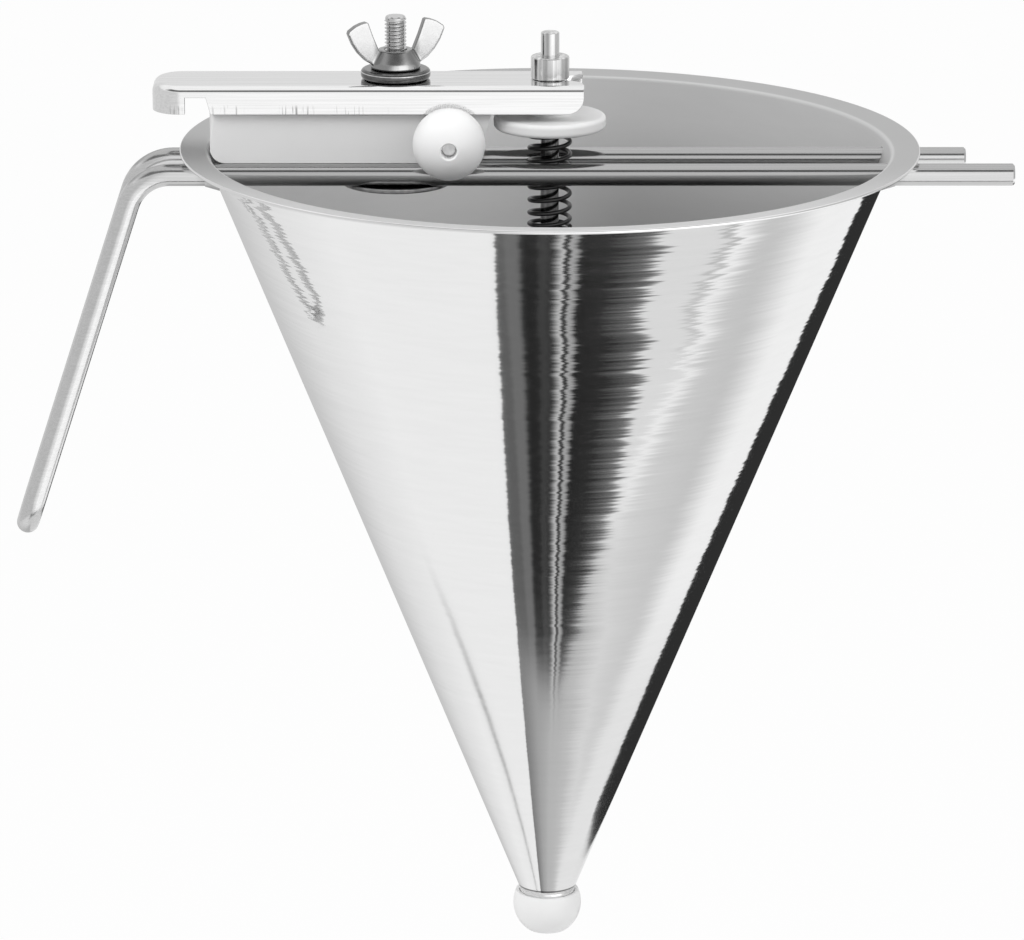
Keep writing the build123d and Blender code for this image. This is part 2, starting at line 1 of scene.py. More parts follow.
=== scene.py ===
# %% [markdown]
# # A confectionery funnel
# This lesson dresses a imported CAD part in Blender. The part is a hand funnel for batter or chocolate: a
# polished steel cone on a looped rod, with a thumb lever that lifts a valve stem. The CAD gives the
# places and the motions, and here each piece that shows gets a clean, smooth mesh and a finish of its
# own.

# %% Load the frame
import bpy
import math
from mathutils import Matrix, Vector


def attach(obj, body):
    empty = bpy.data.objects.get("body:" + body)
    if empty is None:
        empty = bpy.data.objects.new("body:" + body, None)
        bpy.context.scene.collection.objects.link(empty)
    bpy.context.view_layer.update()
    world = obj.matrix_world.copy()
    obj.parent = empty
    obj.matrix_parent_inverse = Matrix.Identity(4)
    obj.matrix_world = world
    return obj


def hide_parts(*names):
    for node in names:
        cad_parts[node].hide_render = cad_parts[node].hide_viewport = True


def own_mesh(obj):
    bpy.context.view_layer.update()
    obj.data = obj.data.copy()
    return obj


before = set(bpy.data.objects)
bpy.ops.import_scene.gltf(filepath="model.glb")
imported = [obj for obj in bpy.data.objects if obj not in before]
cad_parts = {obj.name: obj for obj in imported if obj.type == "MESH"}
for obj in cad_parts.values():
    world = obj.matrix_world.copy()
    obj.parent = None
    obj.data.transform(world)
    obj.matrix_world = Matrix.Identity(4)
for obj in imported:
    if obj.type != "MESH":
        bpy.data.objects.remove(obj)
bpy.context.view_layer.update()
MM = 0.001
print("nodes", len(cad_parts))

# %% [markdown]
# ## Shader maths
# A finish is a small sum: a noise times a depth, a mask taken from one. Written as Python expressions it
# reads like the sum it is. The class below wraps one socket, and each operator adds the Math node that it
# stands for. A soft step is kept as a pair: the edge where it starts and the width over which it rises.


# %% The shader helper
class Socket:
    """One output socket, with arithmetic that adds Math nodes to its tree."""

    def __init__(self, tree, out=None):
        self.tree = tree
        self.out = out

    def node(self, kind, settings=None, sockets=None, take=0):
        """Adds a node: its settings first, then the values or links of its sockets."""
        new = self.tree.nodes.new(kind)
        for key, value in (settings or {}).items():
            if key == "stops":
                set_stops(new.color_ramp, value)
            else:
                setattr(new, key, value)
        for key, value in (sockets or {}).items():
            if isinstance(value, Socket):
                self.tree.links.new(value.out, new.inputs[key])
            else:
                new.inputs[key].default_value = value
        return Socket(self.tree, new.outputs[take]) if len(new.outputs) else new

    def maths(self, operation, *values):
        return self.node("ShaderNodeMath", {"operation": operation}, dict(enumerate(values)))

    def vector(self, operation, *values, take=0):
        return self.node("ShaderNodeVectorMath", {"operation": operation}, dict(enumerate(values)), take)

    def __add__(self, other):
        return self.maths("ADD", self, other)

    def __radd__(self, other):
        return self.maths("ADD", other, self)

    def __sub__(self, other):
        return self.maths("SUBTRACT", self, other)

    def __rsub__(self, other):
        return self.maths("SUBTRACT", other, self)

    def __mul__(self, other):
        return self.maths("MULTIPLY", self, other)

    def __rmul__(self, other):
        return self.maths("MULTIPLY", other, self)

    def absolute(self):
        return self.maths("ABSOLUTE", self)

    def part(self, axis):
        """One coordinate of a vector."""
        return self.node("ShaderNodeSeparateXYZ", sockets={0: self}, take=axis)

    def mm(self, axis):
        """One coordinate of a place, in millimetres."""
        return self.part(axis) * (1 / MM)

    def over(self, edge, width):
        """A soft step: 0 below edge, 1 above edge + width."""
        return self.node(
            "ShaderNodeMapRange",
            {"interpolation_type": "SMOOTHSTEP"},
            {"Value": self, "From Min": edge, "From Max": edge + width},
        )


def set_stops(ramp, stops):
    """Gives a colour ramp its stops, as (place, grey) pairs."""
    for place, grey in stops[1:-1]:
        ramp.elements.new(place)
    for element, (place, grey) in zip(ramp.elements, stops):
        element.position = place
        element.color = (grey, grey, grey, 1)


# %% [markdown]
# A few sums come back in many finishes: noise drawn out along one direction, a mix of two greys, the
# direction a face looks in, or the distance from an upright axis. Each gets a name once.


# %% Parts of a finish
def new_finish(name, metallic=0.0):
    """An empty material with its Principled shader, and the object coordinates to start from."""
    made = bpy.data.materials.new(name)
    made.use_nodes = True
    shader = made.node_tree.nodes["Principled BSDF"]
    shader.inputs["Metallic"].default_value = metallic
    start = Socket(made.node_tree).node("ShaderNodeTexCoord", take="Object")
    return made, shader, start


def stretched_noise(start, scale, detail):
    """Noise whose grain is drawn out: scale is in waves per metre along X, Y and Z."""
    drawn = start.node("ShaderNodeMapping", sockets={"Vector": start, "Scale": scale})
    return start.node("ShaderNodeTexNoise", sockets={"Vector": drawn, "Scale": 1.0, "Detail": detail})


def plug(shader, **links):
    """Links sockets to a shader's inputs."""
    for key, value in links.items():
        value.tree.links.new(value.out, shader.inputs[key.replace("_", " ")])


def two_greys(start, factor, low, high):
    """A colour between two greys."""
    ends = {"Factor": factor, 6: (low, low, low, 1), 7: (high, high, high, 1)}
    return start.node("ShaderNodeMix", {"data_type": "RGBA"}, ends, take=2)


def scaled(colour, factor):
    """A colour or a direction times a factor."""
    return colour.node("ShaderNodeVectorMath", {"operation": "SCALE"}, {0: colour, "Scale": factor})


def bump(height, depth):
    """A surface raised by a height, with its depth in millimetres."""
    return height.node("ShaderNodeBump", sockets={"Height": height, "Distance": depth * MM})


def facing(start):
    """The direction that a face looks in, in the object's own axes."""
    return start.node("ShaderNodeTexCoord", take="Normal")


def heading_of(way):
    """The compass heading of a place or direction in degrees: 0 is the camera's side, 90 the right."""
    across = way.part("X")
    return across.maths("ARCTAN2", across, way.part("Y") * -1.0) * (180 / math.pi)


def by_heading(heading, stops):
    """A grey that changes with the heading, through stops of (degrees, grey)."""
    places = [((degrees + 180) / 360, grey) for degrees, grey in stops]
    return heading.node("ShaderNodeValToRGB", {"stops": places}, {"Fac": (heading + 180) * (1 / 360)})


def axis_distance(start, x=0.0):
    """The distance from an upright axis at x, in millimetres."""
    level = start.vector("MULTIPLY_ADD", start, (1.0, 1.0, 0.0), (-x * MM, 0.0, 0.0))
    return level.vector("LENGTH", level, take="Value") * (1 / MM)


# %% [markdown]
# ## Polished cone steel
# The cone was polished while it turned, so every fine line runs round it and leans the mirror a little to
# the left or right. That is why the edges of the reflections look like saw teeth. A bump map can't do
# this, since its slope would point up and down the cone. Here the normal itself is pushed sideways, along
# the turning direction, by a noise that is long round the cone and very short up and down. The teeth list
# says how strong that is at each heading. A thin dark line marks the joint with the neck. The inside is
# dull. Its shade far down, at the lower right and on the lip follows the photograph and is painted by
# place, so it stays there when the light changes.

# %% The turned finishes
JOINT_Z = -212.5
JOINT_LINE = (0.15, 0.25)
JOINT_SHADE = 0.75
ABOVE_DEPTH = (-80, 40)
ABOVE_LOW_SIDE = (-40, 30)
RIGHT_SIDE = (-10, 40)
RIGHT_SHADE = 0.7
LIP_OUT = (92.6, 0.8)
LIP_BACK = (-80, 60)
GRAIN_SHADE = 0.06
GRAIN_WAVES = 60.0
GRAIN_SHARE = 0.4
LINE_WAVES = 5.0
BROAD_WAVES = 9.0
BROAD_SHARE = 0.06
OUTSIDE_TEETH = [
    (-180, 0.9), (-53, 0.9), (-44, 0.25), (-25, 0.1), (-6, 0.1), (-2, 0.22), (4, 0.22), (10, 1.0),
    (28, 1.0), (42, 0.4), (180, 0.3),
]
INSIDE_TEETH = [(-180, 0.25), (180, 0.25)]


def turned_steel(name, colour, roughness, lean, line_scale, teeth, spread=0.04, shade=0.0, lip=0.0):
    """Steel polished on a lathe about Z. Its mirror leans sideways line by line, as much as teeth says."""
    made, shader, start = new_finish(name, metallic=1.0)
    lines = stretched_noise(start, (LINE_WAVES, LINE_WAVES, line_scale), 3.0)
    broad = stretched_noise(start, (BROAD_WAVES, BROAD_WAVES, line_scale * BROAD_SHARE), 2.0)
    grain = stretched_noise(start, (GRAIN_WAVES, GRAIN_WAVES, line_scale * GRAIN_SHARE), 4.0)
    push = ((lines - 0.5) + (broad - 0.5) * 0.5) * by_heading(heading_of(start), teeth) * lean
    around = start.vector("CROSS_PRODUCT", (0.0, 0.0, 1.0), start)
    around = scaled(around.vector("NORMALIZE", around), push)
    leaning = start.vector("ADD", start.node("ShaderNodeNewGeometry", take="Normal"), around)
    leaning = leaning.vector("NORMALIZE", leaning)
    at_z = start.mm("Z")
    joint = 1 - (at_z - JOINT_Z).absolute().over(*JOINT_LINE)
    low_right = (1 - at_z.over(*ABOVE_LOW_SIDE)) * start.mm("X").over(*RIGHT_SIDE) * RIGHT_SHADE
    deep = (1 - at_z.over(*ABOVE_DEPTH) + low_right) * shade
    on_lip = axis_distance(start).over(*LIP_OUT) * start.mm("Y").over(*LIP_BACK) * lip
    bright = (1 - joint * JOINT_SHADE) * (1 - deep) * (1 - on_lip)
    tint = scaled(two_greys(start, grain, colour * (1 - GRAIN_SHADE), colour), bright)
    rough = roughness + (grain - 0.5) * spread
    plug(shader, Base_Color=tint, Roughness=rough, Normal=leaning)
    return made


cone_steel = turned_steel("cone_steel", 0.90, 0.05, 0.18, 1300.0, OUTSIDE_TEETH, spread=0.03)
cone_inside = turned_steel("cone_inside", 0.78, 0.60, 0.20, 900.0, INSIDE_TEETH, shade=0.33, lip=0.24)
print("turned finishes", cone_steel.name, cone_inside.name)

# %% [markdown]
# ## Drawn and rolled steel
# The rod was drawn through a die and the lever was cut from rolled sheet, so their lines run along X.
# These lines are shallow, and a bump node is enough for them. Small fasteners are plated and a little
# cloudy.

# %% The drawn finish
CLOUD = (70.0, 70.0, 70.0)
ROUGH_SPREAD = 0.06
LINE_STEP = (0.35, 0.3)


def drawn_steel(name, colour, roughness, scale, depth, contrast=0.08, extra=None):
    """Steel with fine lines along the way its noise is stretched, and marks or shade of its own."""
    made, shader, start = new_finish(name, metallic=1.0)
    lines = stretched_noise(start, scale, 3.0)
    cloud = stretched_noise(start, CLOUD, 4.0)
    look = {
        "Base_Color": two_greys(start, lines.over(*LINE_STEP), colour * (1 - contrast), colour),
        "Roughness": roughness + (lines - 0.5) * ROUGH_SPREAD + (cloud - 0.5) * ROUGH_SPREAD,
        "Normal": bump(lines, depth),
    }
    if extra:
        extra(start, look)
    plug(shader, **look)
    return made


# %% [markdown]
# Each drawn piece has marks or painted light and shade of its own. The grip is a little more satin, and the
# lever has short upright scuffs near the thumb. The rest is painted light and shade. On the real pieces
# much of it will be mirrored surroundings, which this room gives only in part, so it is painted after the
# photograph, by place or by the way a face looks. The rods are painted darker inside the cone and along
# their upper side, the lever's flanks lean a little to the light and are painted a little lighter, the stem
# is painted darker below the rim, and the washer has a painted highlight, a bright ring. Painted light and
# shade stay with their piece in every view, but they also stay when the light changes.

# %% Marks, painted light and painted shade on the drawn steel
GRIP_END = (-106, 12)
GRIP_SATIN = 0.06
PAST_WALL = (90, 6)
CONE_SHADE = 0.36
UPPER_SIDE = (0.55, 0.15)
UPPER_SHADE = 0.34


def rod_shade(start, look):
    at_x = start.mm("X")
    look["Roughness"] = look["Roughness"] + (1 - at_x.over(*GRIP_END)) * GRIP_SATIN
    within = 1 - at_x.absolute().over(*PAST_WALL)
    upper = facing(start).part("Z").over(*UPPER_SIDE)
    bright = 1 - within * (1 - upper) * CONE_SHADE - upper * UPPER_SHADE
    look["Base_Color"] = scaled(look["Base_Color"], bright)


FLANK = (0.9, 0.08)
FLANK_LIFT = 0.14
FLANK_GAIN = 0.06
SCUFF_GRAIN = (1300.0, 1300.0, 90.0)
SCUFF_STEP = (0.52, 0.1)
PATCH_GRAIN = (70.0, 0.0, 0.0)
PATCH_STEP = (0.42, 0.15)
PAST_THUMB = (-85, 50)
ABOVE_SCUFFS = (12.0, 1.6)
SCUFF_SHADE = 0.75


def lever_scuffs_and_sheen(start, look):
    flank = facing(start).part("Y").absolute().over(*FLANK)
    scuffs = stretched_noise(start, SCUFF_GRAIN, 2.0).over(*SCUFF_STEP)
    patches = stretched_noise(start, PATCH_GRAIN, 1.0).over(*PATCH_STEP)
    thumb_end = (1 - start.mm("X").over(*PAST_THUMB)) * (1 - start.mm("Z").over(*ABOVE_SCUFFS))
    worn = scuffs * patches * flank * thumb_end
    # Scuffs near the thumb are wear; the flank gain is a painted highlight that makes the flanks a little
    # lighter.
    bright = (1 - worn * SCUFF_SHADE) * (1 + flank * FLANK_GAIN)
    look["Base_Color"] = scaled(look["Base_Color"], bright)
    raised = start.node("ShaderNodeCombineXYZ", sockets={"Z": flank * FLANK_LIFT})
    leaning = start.vector("ADD", look["Normal"], raised)
    look["Normal"] = leaning.vector("NORMALIZE", leaning)


ABOVE_CONE = (0, 8)
SUNK_SHADE = 0.58
RING_LOW = (0.16, 0.08)
RING_HIGH = (0.34, 0.08)
RING_GAIN = 3.6


def stem_shade(start, look):
    sunk = 1 - start.mm("Z").over(*ABOVE_CONE)
    look["Base_Color"] = scaled(look["Base_Color"], 1 - sunk * SUNK_SHADE)


# A painted highlight: a bright ring round the washer's upper edge, where its faces look a little upwards.
def painted_washer_highlight(start, look):
    upward = facing(start).part("Z")
    ring = upward.over(*RING_LOW) * (1 - upward.over(*RING_HIGH))
    look["Base_Color"] = scaled(look["Base_Color"], 1 + ring * RING_GAIN)


# %% [markdown]
# The wing nut looks forged and plated. In the photograph the flat faces of its wings are bright and its hub
# and rims are dark, so it gets two greys: a painted highlight on the flat faces and painted shade on the
# hub and rims. The flat faces are found by the direction they look in, away from the bolt's axis.

# %% Steel finishes
BOLT_X = -41.6
WING_TURN = math.radians(20)
FLAT_FACE = (0.75, 0.2)
PAST_HUB = (5.5, 1.5)
FORGED_GRAIN = (700.0, 700.0, 700.0)
FORGED_ROUGH = 0.16
FORGED_SPREAD = 0.12
FORGED_DEPTH = 0.003
FINE_GRAIN = (900.0, 900.0, 900.0)


def forged_steel(name, bright, dark):
    """Plated forging: one grey on its wings' flat faces, a darker one elsewhere, as painted light and
    shade.
    """
    made, shader, start = new_finish(name, metallic=1.0)
    cloud = stretched_noise(start, FORGED_GRAIN, 4.0)
    flat = (math.sin(WING_TURN), -math.cos(WING_TURN), 0.0)
    across = start.vector("DOT_PRODUCT", facing(start), flat, take="Value")
    painted_flat_highlight = across.absolute().over(*FLAT_FACE) * axis_distance(start, BOLT_X).over(*PAST_HUB)
    tint = two_greys(start, painted_flat_highlight, dark, bright)
    rough = FORGED_ROUGH + (cloud - 0.5) * FORGED_SPREAD
    plug(shader, Base_Color=tint, Roughness=rough, Normal=bump(cloud, FORGED_DEPTH))
    return made


rod_steel = drawn_steel("rod_steel", 0.70, 0.14, (20.0, 2500.0, 2500.0), 0.004, extra=rod_shade)
lever_steel = drawn_steel("lever_steel", 0.88, 0.09, (25.0, 1800.0, 1800.0), 0.002, extra=lever_scuffs_and_sheen)
stem_steel = drawn_steel("stem_steel", 0.84, 0.14, (900.0, 900.0, 12.0), 0.004, 0.4, extra=stem_shade)
pin_steel = drawn_steel("pin_steel", 0.92, 0.50, FINE_GRAIN, 0.004)
plated_steel = drawn_steel("plated_steel", 0.46, 0.16, FINE_GRAIN, 0.010, 0.2)
bolt_steel = drawn_steel("bolt_steel", 0.68, 0.20, FINE_GRAIN, 0.001)
washer_steel = drawn_steel("washer_steel", 0.165, 0.16, FINE_GRAIN, 0.010, 0.2, extra=painted_washer_highlight)
wing_steel = forged_steel("wing_steel", 0.70, 0.32)
spring_wire = drawn_steel("spring_wire", 0.075, 0.30, (1500.0, 1500.0, 1500.0), 0.006)
print("steel finishes", len(bpy.data.materials))

# %% [markdown]
# ## White acetal
# The block, the ball, the disc and the nozzle are turned or milled from white acetal. It is a dense,
# slightly waxy white with a satin face. A faint tool mark in the bump and a little variation in the white
# keep it from looking like paper. The ball lets more light through, and fine ribs round its back give the
# fingers a hold.

# %% The plastic finish
KNOB_AXIS = Vector((-27.2, -20.5, 4.6))
RIB_DEPTH = 0.12
RIB_FADE = 0.6
WHITE_SPREAD = 0.025
WHITE_CLOUD = (45.0, 45.0, 45.0)
SATIN = 0.36
SATIN_SPREAD = 0.16
GLOSS_LEVEL = 0.45


def knob_ribs(start, count):
    """A bump with ribs round the back half of the knob."""
    across = start.mm("X") - KNOB_AXIS.x
    rib_angle = across.maths("ARCTAN2", across, start.mm("Z") - KNOB_AXIS.z) * count
    ribs = rib_angle.maths("SINE", rib_angle) * start.mm("Y").over(KNOB_AXIS.y, RIB_FADE)
    return bump(ribs, RIB_DEPTH)


def white_acetal(name, mark_scale, depth, ribs=0, white=0.845, waxy=0.06, reach=2.0):
    """Satin white plastic with faint tool marks, or with ribs round the back of the knob."""
    made, shader, start = new_finish(name)
    shader.inputs["Specular IOR Level"].default_value = GLOSS_LEVEL
    shader.inputs["Subsurface Weight"].default_value = waxy
    shader.inputs["Subsurface Radius"].default_value = (reach * MM, reach * MM, reach * MM)
    cloud = stretched_noise(start, WHITE_CLOUD, 4.0)
    marks = stretched_noise(start, mark_scale, 3.0)
    tint = two_greys(start, cloud, white - WHITE_SPREAD, white + WHITE_SPREAD)
    rough = SATIN + (marks - 0.5) * SATIN_SPREAD
    surface = knob_ribs(start, ribs) if ribs else bump(marks, depth)
    plug(shader, Base_Color=tint, Roughness=rough, Normal=surface)
    return made


milled_acetal = white_acetal("milled_acetal", (300.0, 900.0, 900.0), 0.012, white=0.82)
turned_acetal = white_acetal("turned_acetal", (120.0, 120.0, 2200.0), 0.008)
knob_acetal = white_acetal(
    "knob_acetal", (120.0, 2200.0, 120.0), 0.008, ribs=72, white=0.93, waxy=0.5, reach=6.0
)
print("finishes", len(bpy.data.materials))

# %% [markdown]
# ## Turning on the lathe
# Most pieces of this object were turned, and Blender's Spin works like a lathe. One point is pulled along
# the outline by extruding it again and again, and the finished outline is spun about the axis. Corners
# get their radius in the outline, because a real turned edge is never quite sharp and its small highlight
# tells so.

# %% Selection and mesh helpers
MERGE = 0.002


def clear_selection():
    if bpy.context.mode != "OBJECT":
        bpy.ops.object.mode_set(mode="OBJECT")
    bpy.ops.object.select_all(action="DESELECT")


def only(piece):
    """Selects one piece and makes it active."""
    clear_selection()
    piece.select_set(True)
    bpy.context.view_layer.objects.active = piece


def settle():
    """Puts the place, turn and scale of the selected piece into its mesh."""
    bpy.ops.object.transform_apply(location=True, rotation=True, scale=True)


def finish_mesh(piece, angle=35):
    """Smooth shading, with flat faces kept flat up to their edges."""
    only(piece)
    bpy.ops.object.shade_smooth_by_angle(angle=math.radians(angle))
    level = piece.modifiers.new("level", "WEIGHTED_NORMAL")
    level.keep_sharp = True
    bpy.ops.object.modifier_apply(modifier=level.name)
    clear_selection()


def close_mesh():
    """Merges doubled points, turns the faces outwards and leaves edit mode."""
    bpy.ops.mesh.select_all(action="SELECT")
    bpy.ops.mesh.remove_doubles(threshold=MERGE * MM)
    bpy.ops.mesh.normals_make_consistent(inside=False)
    bpy.ops.object.mode_set(mode="OBJECT")


def pull(step):
    """Extrudes what is selected by a step in millimetres."""
    bpy.ops.mesh.extrude_region_move(TRANSFORM_OT_translate={"value": [part * MM for part in step]})


def draw(name, line):
    """A new mesh with one line of (x, z) points in millimetres, left in edit mode."""
    clear_selection()
    bpy.ops.mesh.primitive_plane_add(size=MM, location=(0, 0, 0))
    piece = bpy.context.object
    piece.name = name
    bpy.ops.object.mode_set(mode="EDIT")
    bpy.ops.mesh.select_mode(type="VERT")
    bpy.ops.mesh.select_all(action="SELECT")
    bpy.ops.mesh.merge(type="CENTER")
    bpy.ops.transform.translate(value=(line[0][0] * MM, 0, line[0][1] * MM))
    for last, point in zip(line, line[1:]):
        pull((point[0] - last[0], 0, point[1] - last[1]))
    return piece


# %% Lathe helpers
CORNER_STEPS = 6
made_pieces = []


def rounded(corners):
    """Outline through (x, z, radius) corners, with each corner drawn as an arc of its radius."""
    line = []
    last = len(corners) - 1
    for i, (x, z, radius) in enumerate(corners):
        here = Vector((x, z))
        if radius == 0 or i in (0, last):
            line.append(here)
            continue
        back = (Vector(corners[i - 1][:2]) - here).normalized()
        on = (Vector(corners[i + 1][:2]) - here).normalized()
        half = back.angle(on) / 2
        reach = radius / math.tan(half)
        middle = here + (back + on).normalized() * (radius / math.sin(half))
        first = here + back * reach - middle
        sweep = (here + on * reach - middle).angle_signed(first)
        for k in range(CORNER_STEPS + 1):
            line.append(middle + Matrix.Rotation(sweep * k / CORNER_STEPS, 2) @ first)
    return line


def turn(name, outline, steps=96, along="Z", at=(0, 0, 0)):
    """Spins an outline in millimetres about the Z axis, or lays it along Y, and moves it to its place."""
    piece = draw(name, outline)
    bpy.ops.mesh.select_all(action="SELECT")
    bpy.ops.mesh.spin(steps=steps, angle=2 * math.pi, center=(0, 0, 0), axis=(0, 0, 1))
    close_mesh()
    if along == "Y":
        piece.rotation_euler = (-math.pi / 2, 0, 0)
    piece.location = Vector(at) * MM
    settle()
    finish_mesh(piece)
    return piece


def place(piece, body, slot, finish, *nodes):
    """Gives a piece its finish and the body it moves with, and hides the CAD nodes it stands for."""
    piece.data.materials.clear()
    piece.data.materials.append(finish)
    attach(piece, body)
    if nodes:
        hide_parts(*nodes)
    made_pieces.append(piece.name)
    size = [round(d / MM, 1) for d in piece.dimensions]
    print(f"{piece.name}: {len(piece.data.polygons)} faces, {size} mm")


# %% [markdown]
# ## The cone, its neck and the nozzle
# The cone is spun sheet steel. Its outline goes down the outside, round the bend of the lip and back
# along the inside. The long slope is cut into many short steps, so that the mirror stays even from rim to
# neck. The neck is a plain tube, and the nozzle is a bulb with a rounded toe, bored from both ends.

# %% Cone and neck
RIM = 100.0
SHEET = 1.0
RIM_ROUND = 0.45
LIP_UNDER = (93.0, -1.7, 0.9)
LIP_OVER = (92.3, -0.77, 1.6)
CONE_LOW = -213.5
CONE_SLOPE = 0.4025
CONE_WALL = 1.078
OUTSIDE_TOP = -3.2
INSIDE_TOP = -2.6
SLOPE_STEPS = 40
NECK = 7.75
NECK_BORE = 6.95
NECK_LOW = -219.5


def slope_points(radius, top_z):
    """Points up one side of the cone, from the neck to just under the lip."""
    rise = top_z - CONE_LOW
    return [
        (radius + rise * k / SLOPE_STEPS * CONE_SLOPE, CONE_LOW + rise * k / SLOPE_STEPS, 0)
        for k in range(SLOPE_STEPS + 1)
    ]


outside = slope_points(NECK, OUTSIDE_TOP)
inside = slope_points(NECK - CONE_WALL, INSIDE_TOP)[::-1]
lip = [LIP_UNDER, (RIM, -SHEET, RIM_ROUND), (RIM, 0.0, RIM_ROUND), LIP_OVER]
cone = turn("cone_shell", rounded(outside + lip + inside + outside[:1]), steps=256)
place(cone, "frame", "polished_steel", cone_steel)

neck_corner = (NECK, NECK_LOW)
neck_line = [neck_corner, (NECK, CONE_LOW), (NECK_BORE, CONE_LOW), (NECK_BORE, NECK_LOW), neck_corner]
neck = turn("neck_tube", neck_line)
place(neck, "frame", "polished_steel", cone_steel, "outlet_neck")

# %% Nozzle
BULB = 9.5
BULB_Z = -218.2
BULB_MOUTH = -226.0
BULB_TOP = -214.4
BULB_STEPS = 24
TOE = 1.6
TOE_STEPS = 8
SOCKET = 7.8
SOCKET_LOW = -219.55
SOCKET_SEAM = -216.0
OUTLET = 2.25
OUTLET_TOP = -222.95
NOZZLE_EDGE = 0.2
toe_z = BULB_MOUTH + TOE
toe_x = math.sqrt((BULB - TOE) ** 2 - (toe_z - BULB_Z) ** 2)
toe_end = math.atan2(toe_z - BULB_Z, toe_x)
bulb_end = math.asin((BULB_TOP - BULB_Z) / BULB)
nozzle_corners = [(SOCKET, SOCKET_SEAM, 0), (SOCKET, BULB_TOP, NOZZLE_EDGE)]
for k in range(BULB_STEPS):
    angle = bulb_end + (toe_end - bulb_end) * k / BULB_STEPS
    nozzle_corners.append((BULB * math.cos(angle), BULB_Z + BULB * math.sin(angle), 0))
for k in range(TOE_STEPS + 1):
    angle = toe_end + (-math.pi / 2 - toe_end) * k / TOE_STEPS
    nozzle_corners.append((toe_x + TOE * math.cos(angle), toe_z + TOE * math.sin(angle), 0))
nozzle_corners += [
    (OUTLET, BULB_MOUTH, NOZZLE_EDGE),
    (OUTLET, OUTLET_TOP, 0),
    (NECK_BORE, SOCKET_LOW, 0),
    (SOCKET, SOCKET_LOW, 0),
    (SOCKET, SOCKET_SEAM, 0),
]
nozzle = turn("nozzle_bulb", rounded(nozzle_corners))
place(nozzle, "frame", "white_plastic", turned_acetal, "outlet_nozzle")

# %% [markdown]
# Four holes let the rod pass through the cone. A round cutter along X makes them with a Boolean. The
# inner faces then take the dull finish: they are the ones that look towards the axis, and the top of the
# lip.

# %% Cutting and picking helpers
PAST = 20.0
CUTTER_SIDES = 48


def combine(piece, tool, operation="DIFFERENCE"):
    """Cuts one mesh out of another, or joins it on, and removes the tool."""
    only(piece)
    step = piece.modifiers.new("combine", "BOOLEAN")
    step.operation = operation
    step.solver = "EXACT"
    step.object = tool
    bpy.ops.object.modifier_apply(modifier=step.name)
    bpy.data.objects.remove(tool, do_unlink=True)


def drill(piece, radius, low, high):
    """Drills a round hole between two points in millimetres."""
    low = Vector(low)
    high = Vector(high)
    clear_selection()
    bpy.ops.mesh.primitive_cylinder_add(
        vertices=CUTTER_SIDES,
        radius=radius * MM,
        depth=(high - low).length * MM,
        location=(low + high) * (MM / 2),
        rotation=(high - low).to_track_quat("Z", "X").to_euler(),
    )
    cutter = bpy.context.object
    settle()
    combine(piece, cutter)


def start_picking(piece, kind):
    """Clears the selection inside a piece, so that code can select its points, edges or faces."""
    only(piece)
    bpy.ops.object.mode_set(mode="EDIT")
    bpy.ops.mesh.select_mode(type=kind)
    bpy.ops.mesh.select_all(action="DESELECT")
    bpy.ops.object.mode_set(mode="OBJECT")


# %% Holes and inside of the cone
ROD = 3.0
ROD_FIT = 0.1
ROD_GAP = 10.0
ROD_Z = -6.2
LOOKS_IN = -0.3
LOOKS_UP = 0.9
UNDER_RIM = -0.6
for y in (-ROD_GAP, ROD_GAP):
    drill(cone, ROD + ROD_FIT, (-RIM - PAST, y, ROD_Z), (RIM + PAST, y, ROD_Z))
finish_mesh(cone)
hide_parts("funnel_cone")
cone.data.materials.append(cone_inside)
start_picking(cone, "FACE")
for face in cone.data.polygons:
    middle = face.center / MM
    inwards = face.normal.xy.dot(middle.xy) < LOOKS_IN * middle.xy.length and middle.z < UNDER_RIM
    face.select = inwards or face.normal.z > LOOKS_UP
bpy.ops.object.mode_set(mode="EDIT")
cone.active_material_index = 1
bpy.ops.object.material_slot_assign()
clear_selection()
print("cone", len(cone.data.polygons), "faces after drilling")

# %% [markdown]
# ## The bent rod
# One rod makes both legs and the looped grip. It starts as a disc at the front leg's end. Extruding the
# disc makes the straight runs and Spin makes the bends, so the tube keeps one round section all the way.

# %% Bent rod
LEG_FRONT = 125.0
LEG_BACK = 113.5
GRIP_CORNER = -111.0
GRIP_LEAN = math.radians(18)
GRIP_BEND = 12.0
GRIP_REACH = 105.0
END_CHAMFER = 0.5
ROD_SIDES = 48
BEND_STEPS = 16
LOOP_STEPS = 32
bend_angle = math.pi / 2 - GRIP_LEAN
bend_run = GRIP_BEND * math.tan(bend_angle / 2)
lean = Vector((-math.sin(GRIP_LEAN), 0, -math.cos(GRIP_LEAN)))
bend_middle = Vector((GRIP_CORNER + bend_run, 0, ROD_Z - GRIP_BEND))
grip_run = GRIP_REACH - ROD_GAP - bend_run
loop_middle = Vector((GRIP_CORNER, 0, ROD_Z)) + lean * (GRIP_REACH - ROD_GAP)
front_end = Vector((LEG_FRONT, -ROD_GAP, ROD_Z)) * MM
back_end = Vector((LEG_BACK, ROD_GAP, ROD_Z)) * MM
grow = ROD / (ROD - END_CHAMFER)


def swing(middle, axis, angle, steps):
    """Spins the selected end face about an axis through a point in millimetres, right-handed."""
    bpy.ops.mesh.spin(steps=steps, angle=-angle, center=Vector(middle) * MM, axis=axis)


